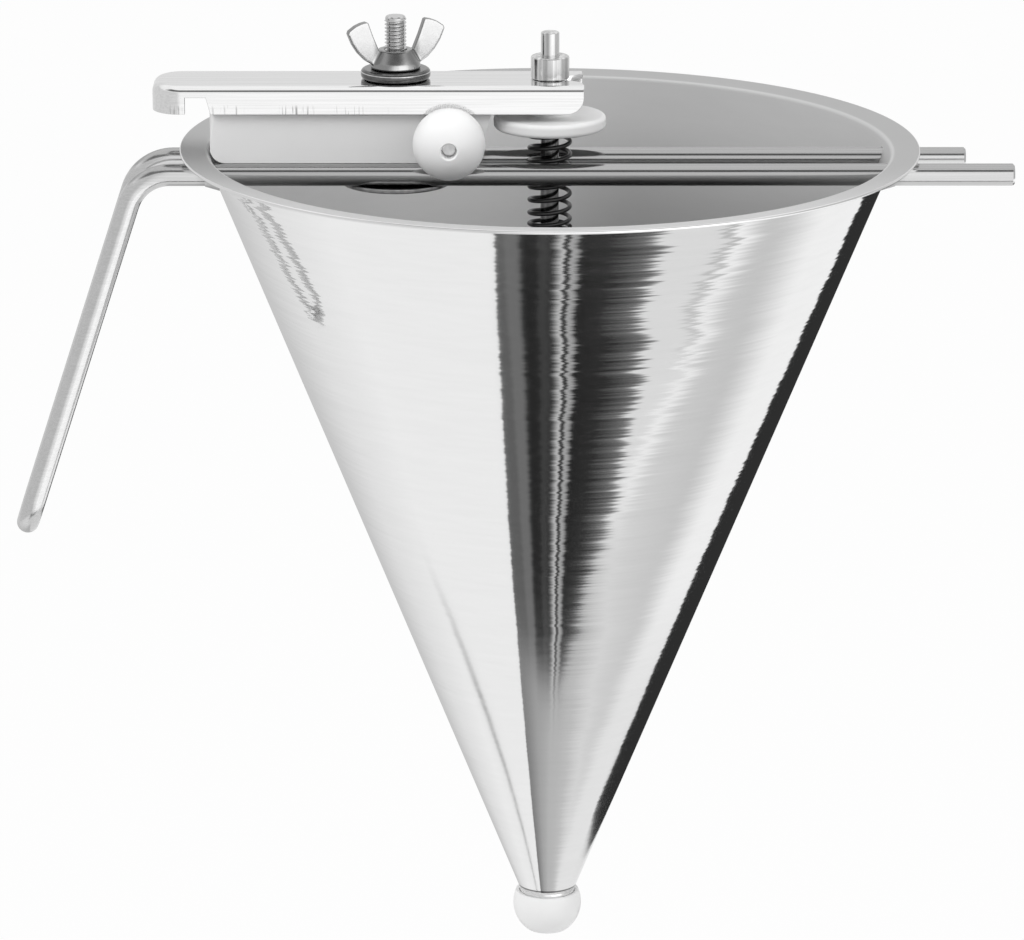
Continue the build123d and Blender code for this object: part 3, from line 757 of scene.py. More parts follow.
clear_selection()
bpy.ops.mesh.primitive_circle_add(
    vertices=ROD_SIDES, radius=(ROD - END_CHAMFER) * MM, fill_type="NGON", location=front_end,
    rotation=(0, math.pi / 2, 0),
)
rod = bpy.context.object
rod.name = "bent_rod"
settle()
bpy.ops.object.mode_set(mode="EDIT")
bpy.ops.mesh.select_all(action="SELECT")
pull((-END_CHAMFER, 0, 0))
bpy.ops.transform.resize(value=(1, grow, grow), center_override=front_end)
pull((GRIP_CORNER + bend_run - LEG_FRONT + END_CHAMFER, 0, 0))
swing(bend_middle + Vector((0, -ROD_GAP, 0)), (0, -1, 0), bend_angle, BEND_STEPS)
pull(lean * grip_run)
swing(loop_middle, lean.cross(Vector((0, 1, 0))), math.pi, LOOP_STEPS)
pull(-lean * grip_run)
swing(bend_middle + Vector((0, ROD_GAP, 0)), (0, 1, 0), bend_angle, BEND_STEPS)
pull((LEG_BACK - END_CHAMFER - GRIP_CORNER - bend_run, 0, 0))
pull((END_CHAMFER, 0, 0))
bpy.ops.transform.resize(value=(1, 1 / grow, 1 / grow), center_override=back_end)
close_mesh()
finish_mesh(rod)
place(rod, "frame", "polished_steel", rod_steel, "carrying_handle")

# %% [markdown]
# ## The white block
# The block was milled from a bar. A cube is cut to shape with Bisect: once for its slanted end and once
# for its sloping top, which leaves room for the lever. Its edges are then bevelled, more where the
# photograph shows a rounder corner. Three holes take the return spring, the bolt and the lever's pin.


# %% Box helpers
def slice_off(point, normal):
    """Cuts away everything on the normal's side and closes the cut."""
    bpy.ops.mesh.select_all(action="SELECT")
    bpy.ops.mesh.bisect(
        plane_co=Vector(point) * MM, plane_no=Vector(normal), use_fill=True, clear_outer=True
    )


def solid_box(name, low, high):
    """A box between two corners in millimetres."""
    clear_selection()
    bpy.ops.mesh.primitive_cube_add(size=1)
    box = bpy.context.object
    box.name = name
    box.scale = (Vector(high) - Vector(low)) * MM
    box.location = (Vector(high) + Vector(low)) * (MM / 2)
    settle()
    return box


def round_edges(piece, radius, segments, test):
    """Bevels the edges whose middle and direction, in millimetres, pass a test."""
    start_picking(piece, "EDGE")
    points = [v.co / MM for v in piece.data.vertices]
    for edge in piece.data.edges:
        first, last = (points[i] for i in edge.vertices)
        edge.select = test((first + last) / 2, last - first)
    bpy.ops.object.mode_set(mode="EDIT")
    bpy.ops.mesh.bevel(offset=radius * MM, segments=segments)
    bpy.ops.object.mode_set(mode="OBJECT")


def soften_edges(piece, width, segments, angle):
    """Breaks the sharp edges with a small bevel."""
    only(piece)
    soft = piece.modifiers.new("soften", "BEVEL")
    soft.width = width * MM
    soft.segments = segments
    soft.limit_method = "ANGLE"
    soft.angle_limit = math.radians(angle)
    bpy.ops.object.modifier_apply(modifier=soft.name)


# %% White block
NEAR = 0.1
LONG = 1
FOLD_FACES = 8
END_FACES = 5
ROUND_FACES = 12
HEEL_FACES = 10
BLOCK_LOW = Vector((-91.5, -9.5, -3.192))
BLOCK_HIGH = Vector((-14.2, 9.5, 16.2))
BLOCK_LEAN = math.radians(15.3)
BLOCK_FALL = math.radians(5)
BLOCK_TOE = 4
BLOCK_END = 1.5
BLOCK_EDGE = 0.35
PIVOT = Vector((-27.2, 0, 4.6))
PIN_FIT = 2.05
BOLT_FIT = 3.2
POCKET = 6.4
POCKET_LOW = 2
POCKET_HIGH = 30
BOLT_HOLE_TOP = 10
block = solid_box("white_block", BLOCK_LOW, BLOCK_HIGH)
bpy.ops.object.mode_set(mode="EDIT")
slice_off((BLOCK_HIGH.x, 0, BLOCK_HIGH.z), (math.cos(BLOCK_LEAN), 0, -math.sin(BLOCK_LEAN)))
slice_off((PIVOT.x, 0, BLOCK_HIGH.z), (-math.sin(BLOCK_FALL), 0, math.cos(BLOCK_FALL)))
bpy.ops.object.mode_set(mode="OBJECT")
left_end = BLOCK_LOW.x + NEAR
round_edges(block, BLOCK_TOE, FOLD_FACES, lambda mid, way: mid.x < left_end and mid.z < BLOCK_LOW.z + NEAR)
round_edges(block, BLOCK_END, END_FACES, lambda mid, way: mid.x < left_end and abs(way.z) > LONG)
soften_edges(block, BLOCK_EDGE, segments=3, angle=40)
drill(block, POCKET, (BOLT_X, 0, POCKET_LOW), (BOLT_X, 0, POCKET_HIGH))
drill(block, BOLT_FIT, (BOLT_X, 0, -PAST), (BOLT_X, 0, BOLT_HOLE_TOP))
drill(block, PIN_FIT, (PIVOT.x, -PAST, PIVOT.z), (PIVOT.x, PAST, PIVOT.z))
finish_mesh(block)
place(block, "frame", "white_plastic", milled_acetal, "bearing_block")

# %% [markdown]
# ## The thumb lever
# The lever is folded from sheet: a plate with its sides turned down, closed round at the thumb end and
# open at the fork. One box with rounded corners is its outside, and a smaller one, cut out of it, leaves
# the sheet. The two ears that carry the pin are joined on, and the notches at the thumb end are cut
# through both sides.

# %% Folded lever
LEVER_LOW = Vector((-107.0, -11.5, 10.6))
LEVER_HIGH = Vector((8.9, 11.5, 18.2))
LEVER_SHEET = 1.5
LEVER_CORNER = 8
LEVER_FOLD = 2.5
LEVER_EDGE = 0.15
TOP_EDGE = 0.01
EAR = 4.5
EAR_OVERLAP = 0.5
SLIVER = 0.02
NOTCH_LEFT = -98.0
NOTCH_RIGHT = -91.0
NOTCH_LOW = 10.1
NOTCH_TOP = 15.2
NOTCH_SLANT = 1.4


def folded_box(name, low, high, corner, fold):
    """A box with two rounded upright corners at the left and a folded edge round the top."""
    box = solid_box(name, low, high)
    round_edges(box, corner, ROUND_FACES, lambda mid, way: mid.x < low[0] + NEAR and abs(way.z) > LONG)
    top = high[2] - TOP_EDGE
    round_edges(box, fold, FOLD_FACES, lambda mid, way: mid.z > top and mid.x < high[0] - NEAR)
    return box


ear_foot = PIVOT.z - EAR
lever = folded_box("folded_lever", LEVER_LOW, LEVER_HIGH, LEVER_CORNER, LEVER_FOLD)
fork_end = LEVER_HIGH.x - NEAR
round_edges(lever, EAR, HEEL_FACES, lambda mid, way: mid.x > fork_end and mid.z < LEVER_LOW.z + NEAR)
hollow_low = (LEVER_LOW.x + LEVER_SHEET, LEVER_LOW.y + LEVER_SHEET, 0)
hollow_high = (PAST, LEVER_HIGH.y - LEVER_SHEET, LEVER_HIGH.z - LEVER_SHEET)
inner_corner = LEVER_CORNER - LEVER_SHEET
inner_fold = LEVER_FOLD - LEVER_SHEET
combine(lever, folded_box("hollow", hollow_low, hollow_high, inner_corner, inner_fold))
notch = solid_box("notch", (NOTCH_LEFT, -PAST, NOTCH_LOW), (NOTCH_RIGHT, PAST, NOTCH_TOP))
notch_middle = Vector((NOTCH_LEFT + NOTCH_RIGHT, 0, NOTCH_LOW + NOTCH_TOP)) * (MM / 2)
start_picking(notch, "VERT")
for vert in notch.data.vertices:
    vert.select = vert.co.x > notch_middle.x and vert.co.z > notch_middle.z
bpy.ops.object.mode_set(mode="EDIT")
bpy.ops.transform.translate(value=(-NOTCH_SLANT * MM, 0, 0))
bpy.ops.object.mode_set(mode="OBJECT")
combine(lever, notch)
for side in (-1, 1):
    walls = sorted((side * LEVER_HIGH.y, side * (LEVER_HIGH.y - LEVER_SHEET)))
    ear_low = (PIVOT.x - EAR, walls[0], ear_foot)
    ear = solid_box("ear", ear_low, (PIVOT.x + EAR, walls[1], LEVER_LOW.z + EAR_OVERLAP))
    at_foot = ear_foot + NEAR
    round_edges(ear, EAR - SLIVER, ROUND_FACES, lambda mid, way: mid.z < at_foot and abs(way.y) > LONG)
    combine(lever, ear, "UNION")
print("lever walls", len(lever.data.polygons))

# %% [markdown]
# The plate has two openings: a slot for the bolt, longer than the bolt is thick so that the lever can
# tilt, and the fork that takes the stem. Each cutter is a box with its ends bevelled to a half round. The
# fork's mouth opens in two round corners, left by a box that has a round bite at each side.

# %% Slots in the plate
SLOT_HALF = 3.5
SLOT_LEFT = -45.75
SLOT_RIGHT = -36.25
FORK_HALF = 3.0
FORK_LEFT = -3.9
MOUTH_ROUND = 5.0
MOUTH_X = LEVER_HIGH.x - MOUTH_ROUND
MOUTH_Y = FORK_HALF + MOUTH_ROUND
CUT_LOW = 12
CUT_HIGH = 24
BITE_HIGH = 40
bolt_slot = solid_box("bolt_slot", (SLOT_LEFT, -SLOT_HALF, CUT_LOW), (SLOT_RIGHT, SLOT_HALF, CUT_HIGH))
round_edges(bolt_slot, SLOT_HALF - SLIVER, ROUND_FACES, lambda mid, way: abs(way.z) > LONG)
combine(lever, bolt_slot)
fork_slot = solid_box("fork_slot", (FORK_LEFT, -FORK_HALF, CUT_LOW), (PAST, FORK_HALF, CUT_HIGH))
fork_round = FORK_HALF - SLIVER
round_edges(fork_slot, fork_round, ROUND_FACES, lambda mid, way: abs(way.z) > LONG and mid.x < 0)
combine(lever, fork_slot)
fork_mouth = solid_box("fork_mouth", (MOUTH_X, -MOUTH_Y, CUT_LOW), (PAST, MOUTH_Y, CUT_HIGH))
for y in (-MOUTH_Y, MOUTH_Y):
    drill(fork_mouth, MOUTH_ROUND, (MOUTH_X, y, 0), (MOUTH_X, y, BITE_HIGH))
combine(lever, fork_mouth)
soften_edges(lever, LEVER_EDGE, segments=2, angle=50)
finish_mesh(lever)
place(lever, "lever", "polished_steel", lever_steel, "thumb_lever")

# %% [markdown]
# ## Ball knob, disc and turned steel
# These are all lathe work. The ball lies along Y on the lever's pin and is drilled right through, so its
# bore shows as a small dark hole. The disc has a hub under the lever. The collars are chamfered, and the
# thick washer under the wing nut has a round edge.

# %% Ball and disc
BALL = 9.7
BALL_Y = -20.757
BALL_BACK = 9.0
BALL_FLAT = 3.6
BALL_FRONT = -9.0
BALL_MOUTH = (2.35, -9.4, 0.2)
BALL_FROM = 21.8
BALL_TO = 158.0
BALL_STEPS = 31
ball_corners = [(PIN_FIT, BALL_BACK, 0), (BALL_FLAT, BALL_BACK, 0.3)]
for k in range(1, BALL_STEPS + 1):
    turn_by = math.radians(BALL_FROM + (BALL_TO - BALL_FROM) * k / BALL_STEPS)
    ball_corners.append((BALL * math.sin(turn_by), BALL * math.cos(turn_by), 0))
ball_corners += [BALL_MOUTH, (PIN_FIT, BALL_FRONT, 0.2), (PIN_FIT, 0.0, 0), (PIN_FIT, BALL_BACK, 0)]
ball = turn("ball_grip", rounded(ball_corners), along="Y", at=(PIVOT.x, BALL_Y, PIVOT.z))
place(ball, "lever", "white_plastic", knob_acetal, "ball_knob")

DISC = 15.2
DISC_BORE = 2.6
DISC_LOW = 4.6
DISC_TOP = 8.3
DISC_ROUND = 1.2
DISC_SEAM = 10.0
HUB = 5.5
HUB_TOP = 16.65
disc_line = rounded(
    [
        (DISC_BORE, DISC_SEAM, 0),
        (DISC_BORE, DISC_LOW, 0.2),
        (DISC, DISC_LOW, DISC_ROUND),
        (DISC, DISC_TOP, DISC_ROUND),
        (HUB, DISC_TOP, 0.6),
        (HUB, HUB_TOP, 0.4),
        (DISC_BORE, HUB_TOP, 0.2),
        (DISC_BORE, DISC_SEAM, 0),
    ]
)
disc = turn("spring_plate", disc_line, steps=128)
place(disc, "disc", "white_plastic", turned_acetal, "spring_disc")

# %% Stem, collars and washers
STEM = 2.5
STEM_TOP = 31.0
STEM_LOW = -220.2
STEM_FIT = 2.53
PLATE_TOP = 18.25
COLLAR = 5.2
COLLAR_TOP = 24.45
SEAT = 5.75
SEAT_LOW = -29.5
SEAT_TOP = -23.5
WASHER = 9.4
WASHER_TOP = 21.05
CLAMP = 15.0
CLAMP_LOW = -10.45
CLAMP_TOP = -9.25


def ring_line(bore, radius, low, high, edges):
    """Outline of a bored ring. Its four edge radii go from the bore's lower edge round to its upper one."""
    seam = (bore, (low + high) / 2, 0)
    corners = [(bore, low), (radius, low), (radius, high), (bore, high)]
    return rounded([seam] + [(x, z, edge) for (x, z), edge in zip(corners, edges)] + [seam])


stem_line = rounded([(0, STEM_TOP, 0), (STEM, STEM_TOP, 0.5), (STEM, STEM_LOW, 0), (0, STEM_LOW, 0)])
stem = turn("stem_rod", stem_line, steps=64)
place(stem, "stem", "bright_steel", stem_steel, "valve_stem")
collar = turn("stem_ring", ring_line(STEM_FIT, COLLAR, PLATE_TOP, COLLAR_TOP, (0.1, 0.5, 0.6, 0.15)))
place(collar, "stem", "bright_steel", stem_steel, "stem_collar")
seat = turn("spring_seat", ring_line(STEM_FIT, SEAT, SEAT_LOW, SEAT_TOP, (0.1, 0.5, 0.5, 0.1)))
place(seat, "stem", "bright_steel", stem_steel, "spring_collar")
washer_line = ring_line(BOLT_FIT, WASHER, PLATE_TOP, WASHER_TOP, (0.2, 1.1, 1.1, 0.2))
washer = turn("thick_washer", washer_line, at=(BOLT_X, 0, 0))
place(washer, "washer", "bright_steel", washer_steel, "nut_washer")
clamp_line = ring_line(BOLT_FIT, CLAMP, CLAMP_LOW, CLAMP_TOP, (0.1, 0.3, 0.3, 0.1))
clamp = turn("clamp_plate", clamp_line, steps=128, at=(BOLT_X, 0, 0))
place(clamp, "frame", "bright_steel", plated_steel, "clamp_washer")

# %% [markdown]
# ## The bolt and its thread
# The thread shows above the wing nut, so it is real geometry. A Screw modifier carries one tooth of the
# thread round and up, once for each turn. The head and the plain shank below are turned as a separate
# outline.

# %% Threaded bolt
PITCH = 1.0
THREAD_LOW = 12.0
THREAD_TURNS = 22
THREAD_STEPS = 48
ROOT = 2.42
CREST = 2.94
SHANK = 2.95
HEAD = 5.0
HEAD_LOW = -11.95
BOLT_TOP = 35.4
BOLT_POINT = 2.35
TIP = 2.75
TIP_TOP = 34.9
TIP_LOW = 34.4
CORE = 2.40
CORE_TOP = 34.0
CORE_LOW = 12.4


def join(piece, *others):
    """Joins other meshes to a piece."""
    only(piece)
    for other in others:
        other.select_set(True)
    bpy.ops.object.join()


tooth = [(ROOT, 0.0), (ROOT, 0.13), (CREST, 0.45), (CREST, 0.58), (ROOT, 0.9), (ROOT, PITCH)]
thread = draw("clamp_screw", [(out, THREAD_LOW + up) for out, up in tooth])
bpy.ops.object.mode_set(mode="OBJECT")
screw = thread.modifiers.new("thread", "SCREW")
screw.axis = "Z"
screw.screw_offset = PITCH * MM
screw.iterations = THREAD_TURNS
screw.steps = THREAD_STEPS
screw.render_steps = THREAD_STEPS
screw.use_merge_vertices = True
screw.merge_threshold = MERGE * MM
only(thread)
bpy.ops.object.modifier_apply(modifier=screw.name)
bpy.ops.object.mode_set(mode="EDIT")
close_mesh()
thread.location = (BOLT_X * MM, 0, 0)
settle()
finish_mesh(thread, 50)
core_line = rounded(
    [
        (0, BOLT_TOP, 0),
        (BOLT_POINT, BOLT_TOP, 0.3),
        (TIP, TIP_TOP, 0.2),
        (TIP, TIP_LOW, 0),
        (CORE, CORE_TOP, 0),
        (CORE, CORE_LOW, 0),
        (SHANK, THREAD_LOW, 0),
        (SHANK, CLAMP_LOW, 0),
        (HEAD, CLAMP_LOW, 0.2),
        (HEAD, HEAD_LOW, 0.5),
        (0, HEAD_LOW, 0),
    ]
)
core = turn("bolt_core", core_line, steps=64, at=(BOLT_X, 0, 0))
join(thread, core)
place(thread, "frame", "bright_steel", bolt_steel, "clamp_bolt")

# %% [markdown]
# ## The wing nut
# A wing nut is forged, so its wings flow into the hub. The hub is turned, one wing is drawn as a flat
# face and given its thickness, and the second wing is a copy turned half round. A voxel remesh then melts
# the three together, and a light smoothing leaves the soft corners of a forging.

# %% Forged wing nut
NUT_LOW = 21.1
NUT_BORE = 3.05
NUT_SEAM = 23.0
HUB_FOOT = 6.9
HUB_SIDE = 6.6
HUB_NECK = 4.7
HUB_STEP = NUT_LOW + 1.6
HUB_HIGH = NUT_LOW + 5.2
WING_THICK = 2.2
MELT_SIZE = 0.2
EASE_TIMES = 6
hub_line = rounded(
    [
        (NUT_BORE, NUT_SEAM, 0),
        (NUT_BORE, NUT_LOW, 0.2),
        (HUB_FOOT, NUT_LOW, 0.5),
        (HUB_SIDE, HUB_STEP, 0.4),
        (HUB_NECK, HUB_HIGH, 0.4),
        (NUT_BORE, HUB_HIGH, 0.3),
        (NUT_BORE, NUT_SEAM, 0),
    ]
)
nut = turn("wing_grip", hub_line, steps=64)
wing_line = [
    (4.3, 1.0), (6.4, 1.1), (8.9, 2.6), (10.9, 4.7), (12.5, 7.2), (13.7, 10.1), (13.4, 10.9), (11.7, 12.1),
    (10.0, 12.8), (8.6, 13.1), (8.0, 12.9), (6.6, 9.0), (4.9, 5.0), (4.0, 4.0),
]
clear_selection()
bpy.ops.mesh.primitive_circle_add(vertices=len(wing_line), radius=MM, fill_type="NGON")
wing = bpy.context.object
for vert, (out, up) in zip(wing.data.vertices, wing_line):
    vert.co = (out * MM, 0, (NUT_LOW + up) * MM)
wall = wing.modifiers.new("wall", "SOLIDIFY")
wall.thickness = WING_THICK * MM
wall.offset = 0
only(wing)
bpy.ops.object.modifier_apply(modifier=wall.name)
bpy.ops.object.duplicate()
other_wing = bpy.context.object
other_wing.rotation_euler = (0, 0, math.pi)
settle()
join(nut, wing, other_wing)
melt = nut.modifiers.new("melt", "REMESH")
melt.mode = "VOXEL"
melt.voxel_size = MELT_SIZE * MM
ease = nut.modifiers.new("ease", "SMOOTH")
ease.factor = 0.5
ease.iterations = EASE_TIMES
bpy.ops.object.modifier_apply(modifier=melt.name)
bpy.ops.object.modifier_apply(modifier=ease.name)
nut.rotation_euler = (0, 0, WING_TURN)
nut.location = (BOLT_X * MM, 0, 0)
settle()
bpy.ops.object.shade_smooth()
clear_selection()
place(nut, "nut", "bright_steel", wing_steel, "wing_nut")

# %% [markdown]
# ## The springs
# A spring is one wire, and its turns lie closer at both ends. The heights come from the same formula as
# in the CAD. The wire is a smooth NURBS curve with a round bevel, turned into a mesh.

# %% Springs
TURN_POINTS = 24
END_POWER = 7


def coil(name, x, low, radius, wire, turns, length, end_pitch):
    """A coil spring standing on the height low, with closer turns at its ends."""
    rise = length - 2 * wire
    mid_pitch = (rise / turns - end_pitch / END_POWER) * END_POWER / (END_POWER - 1)
    count = int(turns * TURN_POINTS)
    clear_selection()
    bpy.ops.curve.primitive_nurbs_path_add()
    piece = bpy.context.object
    piece.name = name
    curve = piece.data
    curve.splines.clear()
    spline = curve.splines.new("NURBS")
    spline.points.add(count)
    for k in range(count + 1):
        u = k / count
        angle = 2 * math.pi * turns * u
        ends = (mid_pitch - end_pitch) * ((2 * u - 1) ** END_POWER + 1) / (2 * END_POWER)
        up = turns * (mid_pitch * u - ends)
        at = Vector((x + radius * math.cos(angle), radius * math.sin(angle), low + wire + up))
        spline.points[k].co = (at * MM).to_4d()
    spline.order_u = 4
    spline.use_endpoint_u = True
    spline.resolution_u = 2
    curve.bevel_depth = wire * MM
    curve.bevel_resolution = 4
    curve.use_fill_caps = True
    bpy.ops.object.convert(target="MESH")
    piece = bpy.context.object
    bpy.ops.object.shade_smooth_by_angle(angle=math.radians(50))
    clear_selection()
    return piece


valve_coil = coil(
    "valve_coil", x=0, low=-23.45, radius=5.55, wire=0.6, turns=8.25, length=28.0, end_pitch=1.0
)
place(valve_coil, "stem", "spring_steel", spring_wire, "valve_spring")
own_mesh(valve_coil)
lift_coil = coil(
    "lift_coil", x=BOLT_X, low=7.05, radius=5.2, wire=0.5, turns=3.25, length=9.6, end_pitch=1.2
)
place(lift_coil, "frame", "spring_steel", spring_wire, "return_spring")
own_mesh(lift_coil)

# %% [markdown]
# ## The CAD pieces that stay
# The weld beads, the pin, its clip, the small screws and the plug have the right shape already. They only
# get a finish.

# %% Finish the CAD nodes
kept_nodes = {
    "rod_welds": rod_steel,
    "clamp_nut": plated_steel,
    "pivot_pin": pin_steel,
    "pin_clip": plated_steel,
    "grub_screw": spring_wire,
    "collar_pin": plated_steel,
    "valve_plug": turned_acetal,
}
for name, finish in kept_nodes.items():
    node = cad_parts[name]
    node.data.materials.clear()
    node.data.materials.append(finish)
print("made", len(made_pieces), "kept", len(kept_nodes))

# %% [markdown]
# ## The studio
# The object hangs in front of a white ground. Polished steel has no look of its own: it shows the room.
# So the room is painted into the world as a sum of soft steps, by heading and height in degrees. The real
# room isn't known. The places and greys of its bands were measured on the cone in the photograph and then
# set one by one, and names such as table, cord and window are guesses at what they are. The cone mirrors
# only a narrow strip of the room, far down: drop runs across that strip, from 0 at what the rim shows to
# 1 at what the neck shows. A border that is straight in the room may look bent in the cone, which is why
# the borders below move with drop.

# %% Directions in the room
ROOM_TURN = 1.126
RIM_HEIGHT = -57.7
RIM_RISE = 0.00159
RIM_CURL = 2.6e-9
STRIP = 6.1
world = bpy.data.worlds.new("white_room")
bpy.context.scene.world = world
world.use_nodes = True
world.node_tree.nodes.clear()
way = Socket(world.node_tree).node("ShaderNodeTexCoord", take="Generated")
heading = heading_of(way) - ROOM_TURN
way_up = way.part("Z")
height = way_up.maths("ARCSINE", way_up) * (180 / math.pi)
squared = heading * heading
rim_height = squared * RIM_RISE - squared * squared * RIM_CURL + RIM_HEIGHT
drop = (rim_height - height) * (1 / STRIP)
cubed = drop * drop * drop
print("room turned by", ROOM_TURN, "degrees")

# %% [markdown]
# To the left the low room is a white wall with a thin dark cord hanging before it. To the right of a seam
# stands the table, whose dark front shows the legs and what lies between them.

# %% Left wall and table front
LEFT_WALL = [(-180, 0.55), (-160, 0.62), (-132, 0.82), (-100, 0.94), (180, 0.94)]
TABLE_FRONT = [
    (-180, 0.13), (-25, 0.12), (-22.5, 0.165), (-17.5, 0.165), (-15.3, 0.04), (-13.5, 0.02), (-8.5, 0.025),
    (-7, 0.05), (-4, 0.055), (-2, 0.035), (-0.5, 0.05), (1, 0.18), (3, 0.44), (4.8, 0.65), (5.4, 0.04),
    (7.2, 0.04), (7.8, 0.42), (10.8, 0.36), (12, 0.06), (13.5, 0.02), (27, 0.03), (36, 0.085), (44, 0.16),
    (47.5, 0.35), (50, 0.78), (180, 0.78),
]
CORD_AT = -118
CORD_BEND = 26
CORD_EDGE = (2.0, 1.6)
CORD_STARTS = (0.75, 0.35)
CORD_SHADE = 0.75
SEAM_AT = -27.3
SEAM_RUN = -11.5
SEAM_EDGE = (-0.4, 0.8)
from_cord = heading - (cubed * CORD_BEND + CORD_AT)
cord = (1 - from_cord.absolute().over(*CORD_EDGE)) * drop.over(*CORD_STARTS)
left_wall = by_heading(heading, LEFT_WALL) * (1 - cord * CORD_SHADE)
table_front = by_heading(heading, TABLE_FRONT)
from_seam = heading - (drop * SEAM_RUN + SEAM_AT)
past_seam = from_seam.over(*SEAM_EDGE)
print("stops", len(LEFT_WALL), "on the wall,", len(TABLE_FRONT), "on the table's front")

# %% [markdown]
# The table's top begins at a slanted edge, with a fine dark line before it and some glare behind it. The
# top grows lighter to the far right, and there a dark gap behind the table ends it.

# %% Table top and gap
TABLE_TOP = [
    (-180, 0.2), (-40, 0.21), (-30, 0.30), (-18, 0.41), (-6, 0.47), (0, 0.51), (20, 0.54), (33, 0.58),
    (45, 0.68), (55, 0.74), (66, 0.70), (80, 0.66), (97, 0.62), (180, 0.62),
]
SLANT_AT = 80
SLANT_RUN = 30
SLANT_BEND = 85
SLANT_EDGE = (-0.7, 1.4)
TOP_FROM = (0.70, 0.08)
LINE_BEFORE = 3
LINE_EDGE = (1, 2)
LINE_ENDS = (0.12, 0.1)
LINE_SHADE = 0.35
GLARE_WIDTH = (0, 14)
GLARE_ENDS = (0.35, 0.25)
GLARE_GAIN = 0.35
RISE_AT = 107
RISE_BEND = 42
RISE_EDGE = (-9, 26)
FAR_LIGHT = 0.97
FAR_FADE = (0.6, 0.3)
FAR_SHADE = 0.11
GAP_AT = 145.5
GAP_RUN = 12.2
GAP_BEND = 12.1
GAP_LATE = (0.8, 1.0)
GAP_TURN = 150
GAP_EDGE = (-0.8, 1.6)
GAP_END_AT = -91.5
GAP_END_RUN = 185
GAP_END_EDGE = (-1.5, 3)
GAP_GREY = 0.03
from_slant = heading - (SLANT_AT - drop * SLANT_RUN - drop * drop * SLANT_BEND)
past_slant = from_slant.over(*SLANT_EDGE)
past_edge = drop.over(*TOP_FROM)
on_top = past_slant + past_edge - past_slant * past_edge
edge_line = (1 - (from_slant + LINE_BEFORE).absolute().over(*LINE_EDGE)) * (1 - drop.over(*LINE_ENDS))
glare = (1 - from_slant.over(*GLARE_WIDTH)) * past_slant * (1 - drop.over(*GLARE_ENDS))
past_rise = (heading - (RISE_AT - cubed * RISE_BEND)).over(*RISE_EDGE)
far_light = FAR_LIGHT - drop.over(*FAR_FADE) * FAR_SHADE
table_top = by_heading(heading, TABLE_TOP) * (1 - past_rise) + far_light * past_rise + glare * GLARE_GAIN
table = table_front * (1 - on_top) * (1 - edge_line * LINE_SHADE) + table_top * on_top
late = drop.over(*GAP_LATE)
from_gap = heading - (GAP_AT - drop * GAP_RUN - drop * drop * GAP_BEND - late * late * GAP_TURN)
from_gap_end = heading - (drop * GAP_END_RUN + GAP_END_AT)
gap = from_gap.over(*GAP_EDGE) * from_gap_end.over(*GAP_END_EDGE)
low_room = (left_wall * (1 - past_seam) + table * past_seam) * (1 - gap) + gap * GAP_GREY
print("stops", len(TABLE_TOP), "on the table's top")

# %% [markdown]
# The other pieces mirror the upper room: pale walls with a bright window at the front right, a white
# ceiling, and a dark band high above the camera. Low on the right a bright wall and a dark corner beyond
# it give the leaning grip its bright strip and its dark edge. Camera rays see plain white, and soft light
# comes from an even grey, so that only mirrors show the painted room.

# %% Upper room and world
WALLS = [
    (-180, 0.72), (-120, 0.64), (-20, 0.62), (-6, 0.90), (8, 1.0), (46, 1.0), (60, 0.78), (80, 0.55),
    (110, 0.50), (140, 0.68), (180, 0.72),
]
WALL_GAIN = 1.1
WINDOW_FROM = (14, 4)
WINDOW_TO = (58, 8)
WINDOW_GAIN = 0.3
CEILING_FROM = (28, 14)
BAND_FROM = (36, 8)
BAND_TO = (58, 8)
BAND_SIDES = (60, 40)
BAND_SHADE = 0.85
LOW_WALL_FROM = (16, 6)
LOW_WALL_TO = (124, 8)
LOW_WALL_TOP = (-26, 6)
LOW_WALL_GAIN = 1.35
CORNER_TOP = (-24, 4)
CORNER_SHADE = 0.7
LOW_ROOM = (-0.35, 0.2)
SOFT_GREY = (0.82, 0.82, 0.82, 1)
WHITE = (1, 1, 1, 1)
window = heading.over(*WINDOW_FROM) * (1 - heading.over(*WINDOW_TO))
ceiling = height.over(*CEILING_FROM)
band = height.over(*BAND_FROM) * (1 - height.over(*BAND_TO)) * (1 - heading.absolute().over(*BAND_SIDES))
walls = by_heading(heading, WALLS) * (window * WINDOW_GAIN + WALL_GAIN)
upper_room = walls * (1 - ceiling) + ceiling - band * BAND_SHADE
corner_from = heading.over(*LOW_WALL_TO)
low_wall = heading.over(*LOW_WALL_FROM) * (1 - corner_from) * (1 - height.over(*LOW_WALL_TOP))
low_corner = corner_from * (1 - height.over(*CORNER_TOP))
upper_room = (upper_room * (1 - low_wall) + low_wall * LOW_WALL_GAIN) * (1 - low_corner * CORNER_SHADE)
is_low = drop.over(*LOW_ROOM)
light = low_room * is_low + upper_room * (1 - is_low)
camera_ray = way.node("ShaderNodeLightPath", take="Is Camera Ray")
mirror_ray = way.node("ShaderNodeLightPath", take="Is Glossy Ray")
mirror_ray = mirror_ray + way.node("ShaderNodeLightPath", take="Is Transmission Ray")
plain = way.node("ShaderNodeBackground", sockets={"Color": SOFT_GREY, "Strength": 1.0})
room = way.node("ShaderNodeBackground", sockets={"Color": light, "Strength": 1.0})
ground = way.node("ShaderNodeBackground", sockets={"Color": WHITE, "Strength": 1.0})
mixed = way.node("ShaderNodeMixShader", sockets={0: mirror_ray, 1: plain, 2: room})
mixed = way.node("ShaderNodeMixShader", sockets={0: camera_ray, 1: mixed, 2: ground})
way.node("ShaderNodeOutputWorld", sockets={0: mixed})
print("world nodes", len(world.node_tree.nodes))

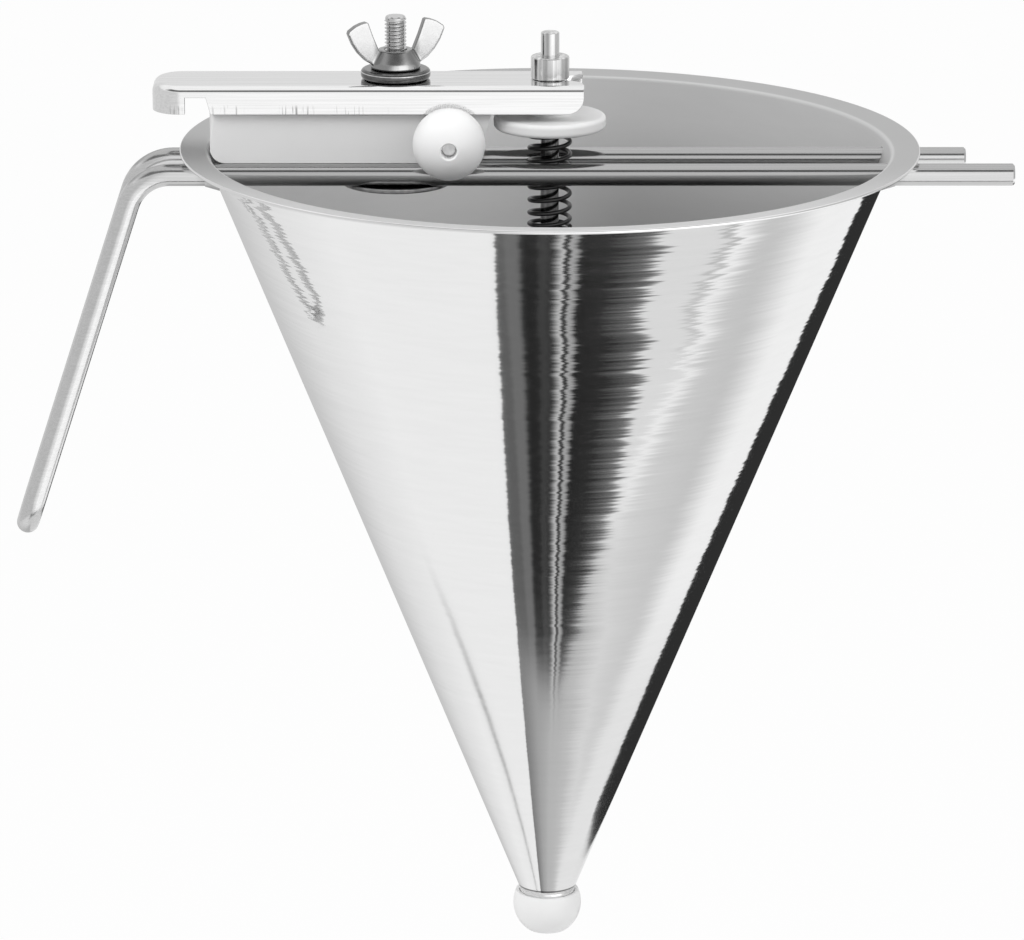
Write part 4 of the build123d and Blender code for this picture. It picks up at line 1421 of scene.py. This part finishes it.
# %% [markdown]
# One large soft lamp from the upper left models the white pieces, and a weaker one fills from the right.
# Both are hidden from mirror rays, because steel would show them as hard white squares. The floor lies
# below the object and only catches a soft shadow.

# %% Lamps and floor
LAMP_AIM = (0, 0, -0.05)
LAMP_SIZE = 0.8
FLOOR_Z = -0.75
FLOOR_SIZE = 8
FLOOR_GREY = (0.85, 0.85, 0.85, 1)
FLOOR_GLOW = 0.94


def soft_lamp(name, at, power):
    """A square area lamp that points at the object."""
    clear_selection()
    bpy.ops.object.light_add(type="AREA", location=at)
    lamp = bpy.context.object
    lamp.name = name
    lamp.rotation_euler = (Vector(LAMP_AIM) - Vector(at)).to_track_quat("-Z", "Y").to_euler()
    lamp.data.size = LAMP_SIZE
    lamp.data.energy = power
    lamp.visible_glossy = False
    print("lamp", name, power, "W")


soft_lamp("key", (-0.9, -0.8, 1.1), 9.0)
soft_lamp("fill", (1.1, -0.5, 0.5), 2.5)
clear_selection()
bpy.ops.mesh.primitive_plane_add(size=FLOOR_SIZE, location=(0, 0, FLOOR_Z))
floor = bpy.context.object
floor.name = "floor"
floor_white, floor_shader, floor_start = new_finish("floor_white")
floor_shader.inputs["Base Color"].default_value = FLOOR_GREY
matt = Socket(floor_white.node_tree, floor_shader.outputs["BSDF"])
glow = floor_start.node("ShaderNodeEmission", sockets={"Color": WHITE, "Strength": 1.0})
seen = floor_start.node("ShaderNodeLightPath", take="Is Camera Ray")
seen = seen + floor_start.node("ShaderNodeLightPath", take="Is Glossy Ray")
shown = floor_start.node("ShaderNodeMixShader", sockets={0: seen * FLOOR_GLOW, 1: matt, 2: glow})
plug(floor_white.node_tree.nodes["Material Output"], Surface=shown)
floor.data.materials.append(floor_white)
floor.visible_glossy = False

# %% [markdown]
# ## The camera
# The camera stands where the photograph was taken from: a metre and a half away, a little above the rim
# and a little to the left, with a long lens.

# %% Camera
YAW, PITCH_DOWN, ROLL = (math.radians(a) for a in (0.474, 16.131, 0.086))
TARGET = Vector((-0.010088, 0, -0.091805))
DISTANCE = 1.5
SENSOR = 36
LENS = 191.6
FARTHEST = 50
level_way = Vector((math.sin(YAW), math.cos(YAW), 0))
forward = level_way * math.cos(PITCH_DOWN) - Vector((0, 0, math.sin(PITCH_DOWN)))
level_right = Vector((math.cos(YAW), -math.sin(YAW), 0))
level_up = level_right.cross(forward)
right = level_right * math.cos(ROLL) + level_up * math.sin(ROLL)
up = level_up * math.cos(ROLL) - level_right * math.sin(ROLL)
clear_selection()
bpy.ops.object.camera_add()
camera = bpy.context.object
turned = Matrix((right, up, -forward)).transposed().to_4x4()
camera.matrix_world = Matrix.Translation(TARGET - forward * DISTANCE) @ turned
camera.data.sensor_width = SENSOR
camera.data.lens = LENS
camera.data.clip_end = FARTHEST
bpy.context.scene.camera = camera
bpy.context.scene.view_settings.view_transform = "Standard"
print("camera at", [round(c, 3) for c in camera.matrix_world.translation])
